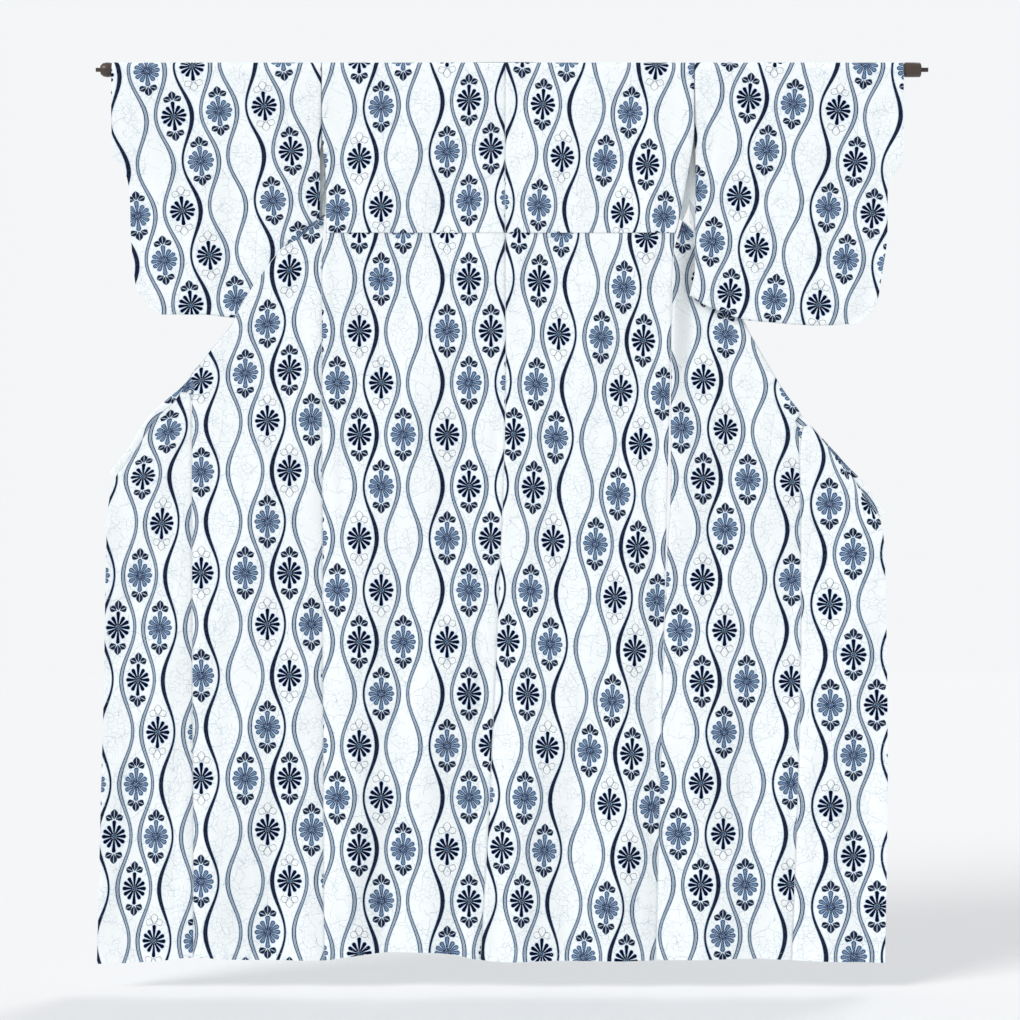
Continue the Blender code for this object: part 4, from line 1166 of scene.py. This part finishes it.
def mixed(tree, amount, first, second, blend="MIX"):
    """A colour: first where amount is 0 and second, or their product, where it is 1."""
    node = tree.nodes.new("ShaderNodeMix")
    node.data_type, node.blend_type = "RGBA", blend
    feed(tree, amount, node.inputs["Factor"])
    feed(tree, first, next(i for i in node.inputs if i.name == "A" and i.type == "RGBA"))
    feed(tree, second, next(i for i in node.inputs if i.name == "B" and i.type == "RGBA"))
    return next(o for o in node.outputs if o.type == "RGBA")


def new_group(name, takes, gives):
    """An empty node group with its sockets, and its input and output nodes."""
    group = bpy.data.node_groups.new(name, "ShaderNodeTree")
    for direction, sockets in (("INPUT", takes), ("OUTPUT", gives)):
        for each, kind in sockets:
            group.interface.new_socket(each, in_out=direction, socket_type=f"NodeSocket{kind}")
    start, end = group.nodes.new("NodeGroupInput"), group.nodes.new("NodeGroupOutput")
    return group, start.outputs, end.inputs


def noise_node(tree, at, scale, detail):
    return add_node(tree, "ShaderNodeTexNoise", {"noise_dimensions": "2D"},
                    Vector=at, Scale=scale, Detail=detail)


def noise(tree, at, scale, detail):
    """Soft noise from 0 to 1, by the number of its waves in a metre and its levels of detail."""
    node = noise_node(tree, at, scale, detail)
    return Number(tree, node.outputs["Factor" if "Factor" in node.outputs else "Fac"])


def across_and_up(tree, cloth):
    """The cloth's two coordinates."""
    parts = add_node(tree, "ShaderNodeSeparateXYZ", Vector=cloth)
    return Number(tree, parts.outputs["X"]), Number(tree, parts.outputs["Y"])


def cell_lookup(tree, column, kind):
    """What a column's cells hold in one kind of row: flower, spots and dark leaves as a colour."""
    ramp = tree.nodes.new("ShaderNodeValToRGB")
    bands = ramp.color_ramp
    bands.interpolation = "CONSTANT"
    for index, cell in enumerate(CELLS):
        place = index / len(CELLS)
        stop = bands.elements[index] if index < len(bands.elements) else bands.elements.new(place)
        stop.position = place
        stop.color = (*getattr(cell, kind), 1)
    feed(tree, (column + 0.5) / len(CELLS), ramp.inputs[0])
    return ramp.outputs[0]


def spots(x, y, radius):
    """1 inside round spots, by the distances x and y from the nearest one's middle."""
    return (x.squared() + y.squared()).root().falls(radius - SPOT_SOFT, radius + SPOT_SOFT)


def wavy_lines(up, place, sway, wave, pitch):
    """Distance from the nearest line's rim, less than 0 inside, and how white the line is inside.

    Line n stands at n + sway (-1)^n wave. Every third line is solid and swells and thins; the
    others are bands with two rows of dots.
    """
    line = (place + 0.5).floor()
    side = 1.0 - line.cycle(2.0) * 2.0
    from_line = (place - line - side * sway * wave) * pitch
    solid = line.cycle(3.0).above(1.5)
    swelling = side * wave * (solid * SOLID_SWELLS + BAND_SWELL)
    half_width = swelling - solid * SOLID_THINNER + BAND_HALF
    rim = abs(from_line) - half_width
    stagger = from_line.above(0.0) * (DOT_PITCH / 2)
    dot_along = (((up + stagger) / DOT_PITCH).cycle(1.0) - 0.5) * DOT_PITCH
    dot_across = abs(abs(from_line) * BAND_HALF / half_width - DOT_ROW)
    pale_middle = (rim + BAND_RIM).falls(*BAND_SOFT) * MIDDLE_PALE
    return rim, spots(dot_along, dot_across, DOT_RADIUS).most(pale_middle) * (1.0 - solid)


def cells_between(tree, place, turn, sway, wave, pitch, repeat):
    """How far across and up a place lies from the middle of its cell between two lines, and
    whether the cell holds a flower, spotted petals and dark leaves."""
    between = place.floor()
    bulge = (1.0 - between.cycle(2.0) * 2.0) * sway * wave
    within = place - between
    cell = between + within.above(1.0 - bulge) - within.below(bulge)
    odd = cell.cycle(2.0)
    level = turn * 2.0 + odd * 0.5
    row = level.floor()
    across = (place - cell - 0.5) * pitch
    up = (level - row - 0.5) * repeat * 0.5
    first_kind = (row + odd).cycle(2.0).above(0.5)
    column = cell.cycle(float(len(CELLS)))
    first, second = (cell_lookup(tree, column, kind) for kind in Cell._fields)
    flags = add_node(tree, "ShaderNodeSeparateColor", Color=mixed(tree, first_kind, second, first))
    return across, up, *(Number(tree, flags.outputs[k]) for k in range(3))


def flower_petals(across, up, width, spotted):
    """Distance from a flower's rim, less than 0 inside, and from its middle: twelve petals, each a
    cone with round ends, the upright ones longer, round a heart."""
    radius = (across.squared() + abs(up).squared()).root() / (width / FLOWER_WIDTH)
    sector = abs(up).by("ARCTAN2", abs(across)) / PETAL_TURN
    off = (sector - (sector + 0.5).floor()) * PETAL_TURN
    along, beside = radius * off.by("COSINE"), abs(radius * off.by("SINE"))
    upright = abs(up).above(abs(across) * UPRIGHT_SLOPE)
    long = upright * UPRIGHT_LONGER + PETAL_TIP - PETAL_ROOT
    reached = ((along - PETAL_ROOT) / long).held()
    past = along - (reached * long + PETAL_ROOT)
    broader = spotted * SPOTTED_BROADER + (PETAL_BROAD - PETAL_NARROW)
    petals = (past.squared() + beside.squared()).root() - (reached * broader + PETAL_NARROW)
    return petals.least(radius - HEART), radius


def leaf_rims(along, across, long, share):
    """Distance across from a leaf's rim and from its vein's, less than 0 inside. The half width at
    t of the length is t to a power, times 1 less t to another power, the whole to a third."""
    widens, rounds, narrows = LEAF_SWELL
    reached = (along / long).held()
    drawn_in = (1.0 - reached.power(rounds)).power(narrows)
    half = reached.power(widens) * drawn_in * long * (LEAF_PEAK * share)
    outside = abs(across) + abs(along - reached * long) * 2.0
    return outside - half, outside - half * VEIN


def flower_leaves(across, up, leaf):
    """The same two distances for the nearest of the three leaves above or below a flower: an
    upright one and two that lean out."""
    x, y = abs(across), abs(up) - LEAF_NODE
    lean_sin, lean_cos = math.sin(LEAF_LEAN), math.cos(LEAF_LEAN)
    along, beside = x * lean_sin + y * lean_cos, x * lean_cos - y * lean_sin
    upright = leaf_rims(y - LEAF_START[0], x, leaf, LEAF_SHARE[0])
    leaning = leaf_rims(along - LEAF_START[1], beside, leaf * SIDE_LEAF, LEAF_SHARE[1])
    return [one.least(other) for one, other in zip(upright, leaning)]


def petal_spots(across, up):
    """1 in the small white spots, which stand in staggered rows."""
    row_height = SPOT_PITCH * 0.866
    row = (up / row_height).floor()
    x = ((across / SPOT_PITCH + row * 0.5).cycle(1.0) - 0.5) * SPOT_PITCH
    y = ((up / row_height).cycle(1.0) - 0.5) * row_height
    return spots(x, y, SPOT_RADIUS)


def wax_cracks(tree, at):
    """1 in the cracks: the borders between cells of three sizes, warped and broken up by noise."""
    warp = noise_node(tree, at, *CRACK_WARP)
    shifted = add_node(tree, "ShaderNodeVectorMath", {"operation": "MULTIPLY_ADD"})
    for value, socket in zip((warp.outputs["Color"], CRACK_SHIFT, at), shifted.inputs):
        feed(tree, value, socket)
    cracks = None
    for size, width, break_up in CRACKS:
        veined = add_node(tree, "ShaderNodeTexVoronoi",
                          {"voronoi_dimensions": "2D", "feature": "DISTANCE_TO_EDGE"},
                          Vector=shifted.outputs[0], Scale=1 / size)
        from_border = Number(tree, veined.outputs["Distance"]) * size
        crack = from_border.falls(width * 0.3, width * 1.3)
        crack = crack * noise(tree, at, break_up, 1.0).falls(*CRACK_BREAKS)
        cracks = crack if cracks is None else cracks.most(crack)
    return cracks


def print_group():
    """The dyed print, worked out from the cloth's coordinates.

    Wavy lines sway by cos(2 t), where t turns once in a repeat. Where two lines stand apart is a
    cell, which may hold a flower with leaves above and below. Round all of it the dye has run a
    little, and cracks cross the ground.
    """
    group, take, give = new_group(
        "Wavy Lines And Flowers",
        [("Cloth", "Vector"), ("Line Pitch", "Float"), ("Repeat", "Float"), ("Sway", "Float"),
         ("Flower Width", "Float"), ("Leaf", "Float"), ("Crackle Strength", "Float"),
         ("Ground", "Color"), ("Ink", "Color"), ("Spotted Petals", "Color"), ("Bleed", "Color"),
         ("Crackle", "Color")],
        [("Colour", "Color"), ("Dyed", "Float")],
    )
    cloth = take["Cloth"]
    pitch, repeat, sway, width, leaf = (
        Number(group, take[name])
        for name in ("Line Pitch", "Repeat", "Sway", "Flower Width", "Leaf")
    )
    across, up = across_and_up(group, cloth)
    place, turn = across / pitch, up / repeat
    sway, wave = sway / pitch, (turn * (4 * math.pi)).by("COSINE")
    mottle = noise(group, cloth, *MOTTLE)
    ragged = (mottle - 0.5) * RAGGED

    line_edge, line_white = wavy_lines(up, place, sway, wave, pitch)
    line_edge = line_edge + ragged
    *from_middle, flower, spotted, dark = cells_between(
        group, place, turn, sway, wave, pitch, repeat
    )
    no_flower = (1.0 - flower) * FAR_AWAY
    petal_edge, radius = flower_petals(*from_middle, width, spotted)
    petal_edge = petal_edge + no_flower + ragged
    leaf_edge, vein_edge = flower_leaves(*from_middle, leaf)
    leaf_edge = leaf_edge + no_flower
    dark_leaf = leaf_edge + (1.0 - dark) * FAR_AWAY + ragged
    outline = abs(leaf_edge).falls(*OUTLINE) * (1.0 - dark) * OUTLINE_SHOWS

    lines = line_edge.falls(*DYE_SOFT) * (1.0 - line_white)
    petals = petal_edge.falls(*DYE_SOFT)
    leaves = dark_leaf.falls(*DYE_SOFT) * (1.0 - vein_edge.falls(*VEIN_SOFT) * VEIN_SHOWS)
    uneven, least = BLEED_MOTTLE
    ran = line_edge.least(petal_edge).least(dark_leaf).falls(*BLEED) * (mottle * uneven + least)
    uneven, least = INK_MOTTLE
    dyed = lines.most(leaves) * (mottle * uneven + least).least(1.0)
    heart = (radius + no_flower).falls(*HEART_SOFT) * (1.0 - spotted) * HEART_PALE

    inside = petal_edge.falls(*PETAL_RIM) * PETAL_PALE
    petal = mixed(group, inside, take["Spotted Petals"], take["Bleed"])
    petal = mixed(group, spotted, take["Ink"], petal)
    white = petal_spots(across, up) * petal_edge.falls(*SPOT_RIM) * spotted
    petal = mixed(group, white, petal, take["Ground"])
    seen = take["Ground"]
    for amount, dye in (
        (wax_cracks(group, cloth) * take["Crackle Strength"], take["Crackle"]),
        (outline, take["Spotted Petals"]), (ran, take["Bleed"]), (dyed, take["Ink"]),
        (petals, petal), (heart, take["Bleed"]),
    ):
        seen = mixed(group, amount, seen, dye)
    feed(group, seen, give["Colour"])
    feed(group, dyed.most(petals), give["Dyed"])
    return group


def weave_group():
    """Fine ribs of the weft, the closer warp and the crimp of washed cotton, as a height."""
    group, take, give = new_group(
        "Ribbed Cotton", [("Cloth", "Vector"), ("Weft", "Float"), ("Warp", "Float")],
        [("Height", "Float"), ("Mottle", "Float")],
    )
    across, up = across_and_up(group, take["Cloth"])
    uneven, crimp = (noise(group, take["Cloth"], *waves) for waves in (THREAD_NOISE, CRIMP_NOISE))
    weft, warp = (
        ((way / take[threads] + uneven * 0.5) * (2 * math.pi)).by("SINE")
        for way, threads in ((up, "Weft"), (across, "Warp"))
    )
    heights = [part * high for part, high in zip((weft, warp, crimp, uneven), WEAVE_HEIGHTS)]
    feed(group, heights[0] + heights[1] + heights[2] + heights[3], give["Height"])
    feed(group, crimp, give["Mottle"])
    return group


def cotton(name, print_nodes, weave_nodes, shown):
    """Printed cotton. shown is how much of the dye shows: 1 on the right side."""
    look = bpy.context.scene.yukata_print
    sizes = bpy.context.scene.yukata_cloth
    material = bpy.data.materials.new(name)
    material.use_nodes = True
    tree = material.node_tree
    shader = tree.nodes["Principled BSDF"]
    at = add_node(tree, "ShaderNodeUVMap", {"uv_map": "Cloth"}).outputs[0]
    dye = add_node(
        tree, "ShaderNodeGroup", {"node_tree": print_nodes}, Cloth=at, Line_Pitch=look.line_pitch,
        Repeat=look.repeat, Sway=look.sway, Flower_Width=look.flower, Leaf=look.leaf,
        Crackle_Strength=look.crackle_strength, Ground=look.ground, Ink=look.ink,
        Spotted_Petals=look.spotted, Bleed=look.halo, Crackle=look.crackle,
    )
    woven = add_node(tree, "ShaderNodeGroup", {"node_tree": weave_nodes}, Cloth=at,
                     Weft=WEFT, Warp=WARP)
    base = dye.outputs["Colour"] if shown == 1 else mixed(
        tree, 1 - shown, dye.outputs["Colour"], look.ground
    )
    # Painted shade: the colour is darkened towards a blue grey in the seams' ditches, read from
    # their own UV map
    seam_shade = add_node(tree, "ShaderNodeSeparateXYZ", None,
                     Vector=add_node(tree, "ShaderNodeUVMap", {"uv_map": "Ditch"}).outputs[0])
    shade = Number(tree, seam_shade.outputs["X"]) * sizes.seam_shade_strength
    feed(tree, mixed(tree, shade, base, SEAM_SHADE_TINT, "MULTIPLY"), shader.inputs["Base Color"])
    bump = add_node(tree, "ShaderNodeBump", None, Strength=sizes.rib, Distance=RIB_HEIGHT,
                    Height=woven.outputs["Height"])
    feed(tree, bump.outputs[0], shader.inputs["Normal"])
    shader.inputs["Roughness"].default_value = sizes.roughness
    shader.inputs["Specular IOR Level"].default_value = COTTON_SHINE
    return material


def plain(name, base, roughness, specular=0.3):
    """A finish of one colour."""
    material = bpy.data.materials.new(name)
    material.use_nodes = True
    shader = material.node_tree.nodes["Principled BSDF"]
    shader.inputs["Base Color"].default_value = (*base, 1)
    shader.inputs["Roughness"].default_value = roughness
    shader.inputs["Specular IOR Level"].default_value = specular
    return material


def black_lacquer():
    """Half-gloss lacquer, rubbed browner and duller but for long streaks where it is whole."""
    look = bpy.context.scene.yukata_rod
    material = plain("Black Lacquer", look.lacquer, look.roughness, 0.5)
    tree = material.node_tree
    shader = tree.nodes["Principled BSDF"]
    place = add_node(tree, "ShaderNodeTexCoord").outputs["Object"]
    long_way = add_node(tree, "ShaderNodeMapping", None, Vector=place, Scale=STREAK_SCALE)
    streaks = add_node(tree, "ShaderNodeTexNoise", None, Vector=long_way.outputs[0],
                       Scale=1.6, Detail=4.0)
    whole = Number(tree, streaks.outputs[0]).falls(*STREAKS)
    feed(tree, mixed(tree, whole, look.wear, look.lacquer), shader.inputs["Base Color"])
    duller = look.roughness + WORN_DULLER
    feed(tree, whole * -WHOLE_SMOOTHER + duller, shader.inputs["Roughness"])
    return material


def cotton_finishes():
    """The cotton's right and wrong sides, made once and then found by name."""
    names = ("Printed Cotton", "Printed Cotton Wrong Side")
    if names[0] not in bpy.data.materials:
        nodes = print_group(), weave_group()
        cotton(names[0], *nodes, 1)
        cotton(names[1], *nodes, bpy.context.scene.yukata_print.wrong_side)
    return [bpy.data.materials[name] for name in names]


# ---- pieces -------------------------------------------------------------------------------------
def dress(thing, node):
    """The shell stands for its solid and hangs still with it."""
    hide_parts(node)
    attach(thing, "root")


def sides():
    return (("left", LEFT_HALF), ("right", RIGHT_HALF))


class YUKATA_OT_sew_back(bpy.types.Operator):
    """Makes the two halves of the back, with the tuck across them"""

    bl_idname = "yukata.sew_back"
    bl_label = "Sew the Back"

    def execute(self, context):
        charts = {"left": (LEFT_UPPER, LEFT_LOWER), "right": (RIGHT_UPPER, RIGHT_LOWER)}
        for name, half in sides():
            flat = back_surface(half)
            surface = sewn(hung(flat, "body"), 1, ("first", "last"))
            shell = cloth_shell(
                f"back_{name}_cloth", surface, tucked_print(*charts[name], flat),
                hemmed(surface, ("hem",)), -half.sign, cotton_finishes(),
                painted_seam_shade(surface, ("first", "last")),
            )
            dress(shell, f"back_{name}")
        return {"FINISHED"}


class YUKATA_OT_sew_fronts(bpy.types.Operator):
    """Makes the two fronts, which hang behind the back and open out to its sides"""

    bl_idname = "yukata.sew_fronts"
    bl_label = "Sew the Fronts"

    def execute(self, context):
        charts = {"left": (LEFT_UPPER, LEFT_OPEN_FRONT), "right": (RIGHT_UPPER, RIGHT_OPEN_FRONT)}
        for name, half in sides():
            flat, _ = over_collar(front_surface(half), okumi_surface(half), half)
            flat = drawn_shut(flat, half.sign * FRONT_SHUTS, GATHER_TURN)
            folds_start, folds_over = OPEN_FRONT_FOLDS
            open_here = soft_step((folds_start - flat[..., 2]) / folds_over)
            surface = sewn(hung(flat, "front"), 1, ("first", "last"), open_here)
            shell = cloth_shell(
                f"front_{name}_cloth", surface, front_print(*charts[name], half, flat),
                hemmed(surface, ("hem",)), half.sign, cotton_finishes(),
                painted_seam_shade(surface, ("first", "last"), open_here),
            )
            dress(shell, f"front_{name}")
        return {"FINISHED"}


class YUKATA_OT_sew_okumi(bpy.types.Operator):
    """Makes the narrow panels that are sewn to the fronts"""

    bl_idname = "yukata.sew_okumi"
    bl_label = "Sew the Front Panels"

    def execute(self, context):
        charts = {"left": LEFT_OKUMI, "right": RIGHT_OKUMI}
        for name, half in sides():
            _, flat = over_collar(front_surface(half), okumi_surface(half), half)
            surface = sewn(hung(flat, "body"), 1, ("first",))
            beside_collar = soft_step((flat[..., 2] / MM - half.okumi_corner.z) / CORNER_FADE)
            # Painted shade in the seam to the front and, above the corner, beside the collar
            to_front, to_collar = painted_seam_shade(surface, ("first",)), painted_seam_shade(surface, ("last",))
            seam_shade = np.maximum(to_front, to_collar * beside_collar)
            shell = cloth_shell(
                f"okumi_{name}_cloth", surface,
                okumi_print(charts[name], half, flat),
                hemmed(surface, ("hem", "last")), half.sign, cotton_finishes(), seam_shade,
            )
            dress(shell, f"okumi_{name}")
        return {"FINISHED"}


class YUKATA_OT_sew_sleeves(bpy.types.Operator):
    """Makes each sleeve of a near and a far layer, which meet at its bottom and under its mouth"""

    bl_idname = "yukata.sew_sleeves"
    bl_label = "Sew the Sleeves"

    def execute(self, context):
        outlines = {
            "left": (LEFT_SLEEVE_INNER, LEFT_SLEEVE_OUTER, LEFT_SLEEVE),
            "right": (RIGHT_SLEEVE_INNER, RIGHT_SLEEVE_OUTER, RIGHT_SLEEVE),
        }
        for name, half in sides():
            inner, outer, chart = outlines[name]
            for layer, side in (("back", -1), ("front", 1)):
                flat = sleeve_surface(inner, outer, side)
                if layer == "front":
                    flat = drawn_shut(flat, -half.sign * SLEEVE_SHUTS[name], SLEEVE_SLIT_ENDS)
                to_body = soft_step((flat[..., 2] - MOUTH_LOW) / MOUTH_SHUTS)
                surface = sewn(hung(flat, "sleeve"), -side, ("first",), to_body)
                shell = cloth_shell(
                    f"sleeve_{name}_{layer}_cloth", surface,
                    chart_at(chart, flat[..., 0], flat[..., 3]),
                    hemmed(surface, ("last",)), -half.sign * side, cotton_finishes(),
                    painted_seam_shade(surface, ("first",), to_body),
                )
                dress(shell, f"sleeve_{name}_{layer}")
        return {"FINISHED"}


class YUKATA_OT_sew_collar(bpy.types.Operator):
    """Makes the long collar round the neck and down both fronts"""

    bl_idname = "yukata.sew_collar"
    bl_label = "Sew the Collar"

    def execute(self, context):
        sizes, look = context.scene.yukata_cloth, context.scene.yukata_print
        surface = collar_surface()
        steps = np.linalg.norm(np.diff(surface[:, -1], axis=0), axis=1)
        along = np.broadcast_to(np.concatenate([[0], np.cumsum(steps)])[:, None], surface.shape[:2])
        across = edge_distance(surface, "last")
        from_left, from_right = COLLAR_FLOWERS
        flowers = np.array([from_left, along[-1, 0] - from_right])
        repeats = round(float(np.diff(flowers)[0]) / look.repeat)
        between = np.clip((along - flowers[0]) / (flowers[1] - flowers[0]), 0, 1)
        past = along - np.clip(along, *flowers)
        print_at = np.stack([
            COLLAR_LINE * look.line_pitch - across,
            between * repeats * look.repeat + past,
        ], -1)
        share_across = np.linspace(-1, 1, surface.shape[1])
        rounded = np.sqrt(np.clip(1 - abs(share_across) ** COLLAR_ROUNDS, COLLAR_RIM, 1))
        shell = cloth_shell(
            "collar_cloth", surface, print_at, sizes.collar_thickness * rounded[None, :], 1,
            cotton_finishes()[:1], np.zeros(surface.shape[:2]),
        )
        dress(shell, "collar")
        return {"FINISHED"}


def run_stitches(path, outwards, context):
    """Short rounded threads that stand in a row along a path: one small lozenge a stitch."""
    sizes = context.scene.yukata_cloth
    gone = np.concatenate([[0], np.cumsum(np.linalg.norm(np.diff(path, axis=0), axis=1))])
    starts = np.arange(sizes.stitch_pitch, gone[-1] - sizes.stitch_pitch, sizes.stitch_pitch)
    ends = starts + sizes.stitch
    first = np.stack([np.interp(starts, gone, path[:, k]) for k in range(3)], -1)
    last = np.stack([np.interp(ends, gone, path[:, k]) for k in range(3)], -1)
    way = unit(last - first)
    beside = np.cross(way, outwards) * THREAD / 2
    middle = (first + last) / 2
    lifted = np.broadcast_to(outwards, middle.shape) * THREAD / 2
    corners = np.stack([
        first, middle + beside, last, middle - beside, middle + lifted, middle - lifted
    ], 1)
    shape = np.array([
        (0, 1, 4), (1, 2, 4), (2, 3, 4), (3, 0, 4), (1, 0, 5), (2, 1, 5), (3, 2, 5), (0, 3, 5)
    ])
    faces = (shape[None] + 6 * np.arange(len(corners))[:, None, None]).reshape(-1, 3)
    return corners.reshape(-1, 3), faces


class YUKATA_OT_stitch_hems(bpy.types.Operator):
    """Runs the small stitches above the hem and beside the free edges of the front panels"""

    bl_idname = "yukata.stitch_hems"
    bl_label = "Stitch the Hems"

    def execute(self, context):
        sizes = context.scene.yukata_cloth
        towards_viewer = np.array([0.0, -1.0, 0.0])
        proud = sizes.thickness + THREAD * STITCH_PROUD
        runs = []
        for _, half in sides():
            for surface in (back_surface(half), front_surface(half), okumi_surface(half)):
                surface = hung(surface, "body")[..., :3]
                to_hem = np.median(edge_distance(surface, "hem"), axis=1)
                row = int(np.argmin(abs(to_hem - sizes.hem * STITCH_ROW)))
                runs.append(surface[row, 2:-2])
            corner = int(np.argmax(surface[:, -1, 2] < half.okumi_corner.z * MM)) + STITCH_STARTS
            to_side = edge_distance(surface, "last")[-1]
            column = int(np.argmin(abs(to_side - sizes.side_hem * STITCH_ROW)))
            runs.append(surface[corner:row, column])
        parts = [
            run_stitches(run + towards_viewer * proud, towards_viewer, context) for run in runs
        ]
        counts = np.cumsum([0] + [len(points) for points, _ in parts])
        points = np.concatenate([points for points, _ in parts])
        faces = np.concatenate([faces + start for (_, faces), start in zip(parts, counts)])
        thread = plain("Sewing Thread", sizes.thread, THREAD_ROUGHNESS)
        thing = new_object("hem_stitches", points, faces, [thread])
        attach(thing, "root")
        return {"FINISHED"}


class YUKATA_OT_lacquer_rod(bpy.types.Operator):
    """Turns the rod with its rounded ends and lacquers it"""

    bl_idname = "yukata.lacquer_rod"
    bl_label = "Lacquer the Rod"

    def execute(self, context):
        turns = np.arange(ROD_SIDES) * 2 * math.pi / ROD_SIDES
        at = np.array([t.x for t in ROD_PROFILE]) * MM
        radius = np.array([t.radius for t in ROD_PROFILE]) * MM
        shape = np.broadcast_shapes((len(at), 1), (1, ROD_SIDES))
        rings = np.stack([
            np.broadcast_to(at[:, None], shape),
            radius[:, None] * np.sin(turns),
            radius[:, None] * np.cos(turns),
        ], -1).reshape(-1, 3)
        points = np.concatenate([rings, [(at[0], 0, 0), (at[-1], 0, 0)]])
        index = np.arange(len(rings)).reshape(shape)
        after = np.roll(index, -1, axis=1)
        walls = np.stack([index[:-1], after[:-1], after[1:], index[1:]], -1).reshape(-1, 4)
        start, end = len(rings), len(rings) + 1
        caps = [(start, b, a) for a, b in zip(index[0], after[0])]
        caps += [(end, a, b) for a, b in zip(index[-1], after[-1])]
        faces = [tuple(face)[::-1] for face in walls.tolist()]
        faces += [tuple(int(k) for k in cap) for cap in caps]
        thing = new_object("lacquered_rod", points, faces, [black_lacquer()], sharp=40)
        dress(thing, "rod")
        return {"FINISHED"}


class YUKATA_OT_set_stage(bpy.types.Operator):
    """Lays the pale floor and sets the soft lights and the camera"""

    bl_idname = "yukata.set_stage"
    bl_label = "Set the Stage"

    def execute(self, context):
        look = context.scene.yukata_stage
        corners = [(x * FLOOR_REACH, y * FLOOR_REACH, FLOOR) for x, y in SQUARE]
        pale = plain("Pale Floor", look.floor, 0.9, 0.1)
        floor = new_object("floor", np.array(corners, float), np.array([(0, 1, 2, 3)]), [pale])
        for sun in SUNS:
            data = bpy.data.lights.new(sun.name, "SUN")
            data.energy, data.angle = look.light * sun.strength, SUN_SOFTNESS
            lamp = bpy.data.objects.new(sun.name, data)
            lamp.rotation_euler = Vector(sun.towards).to_track_quat("-Z", "Y").to_euler()
            context.scene.collection.objects.link(lamp)
        world = bpy.data.worlds.new("soft_room")
        world.use_nodes = True
        tree = world.node_tree
        room = tree.nodes["Background"]
        room.inputs["Color"].default_value = (*look.room, 1)
        room.inputs["Strength"].default_value = look.room_light
        seen = add_node(tree, "ShaderNodeBackground", None, Color=look.backdrop, Strength=1.0)
        pick = add_node(tree, "ShaderNodeMixShader")
        feed(tree, add_node(tree, "ShaderNodeLightPath").outputs["Is Camera Ray"], pick.inputs[0])
        feed(tree, room.outputs[0], pick.inputs[1])
        feed(tree, seen.outputs[0], pick.inputs[2])
        feed(tree, pick.outputs[0], tree.nodes["World Output"].inputs["Surface"])
        context.scene.world = world
        context.scene.view_settings.view_transform = "Standard"
        data = bpy.data.cameras.new("camera")
        data.sensor_width = SENSOR_WIDTH
        data.lens = data.sensor_width * look.distance / look.frame_width
        data.clip_end = CAMERA_SEES
        camera = bpy.data.objects.new("camera", data)
        camera.location = (CAMERA_X, -look.distance, CAMERA_Z)
        camera.rotation_euler = (math.pi / 2, 0, 0)
        context.scene.collection.objects.link(camera)
        context.scene.camera = camera
        return {"FINISHED"}


class YUKATA_PT_robe(bpy.types.Panel):
    """Sizes, colours and steps of the robe"""

    bl_label = "Yukata Robe"
    bl_space_type = "VIEW_3D"
    bl_region_type = "UI"
    bl_category = "Yukata"

    def draw(self, context):
        for settings in ("yukata_cloth", "yukata_print", "yukata_rod", "yukata_stage"):
            box = self.layout.box()
            group = getattr(context.scene, settings)
            for name in group.__annotations__:
                box.prop(group, name)
        for step in STEPS:
            self.layout.operator(step.bl_idname)


SETTINGS = {
    "yukata_cloth": YukataCloth, "yukata_print": YukataPrint, "yukata_rod": YukataRod,
    "yukata_stage": YukataStage,
}
STEPS = (
    YUKATA_OT_sew_back, YUKATA_OT_sew_fronts, YUKATA_OT_sew_okumi, YUKATA_OT_sew_sleeves,
    YUKATA_OT_sew_collar, YUKATA_OT_stitch_hems, YUKATA_OT_lacquer_rod, YUKATA_OT_set_stage,
)


def register():
    for made in (*SETTINGS.values(), *STEPS, YUKATA_PT_robe):
        bpy.utils.register_class(made)
    for name, made in SETTINGS.items():
        setattr(bpy.types.Scene, name, PointerProperty(type=made))


def unregister():
    for name in SETTINGS:
        delattr(bpy.types.Scene, name)
    for made in (YUKATA_PT_robe, *STEPS[::-1], *SETTINGS.values()):
        bpy.utils.unregister_class(made)


def main():
    register()
    for step in STEPS:
        family, name = step.bl_idname.split(".")
        getattr(getattr(bpy.ops, family), name)()


if __name__ == "__main__":
    main()
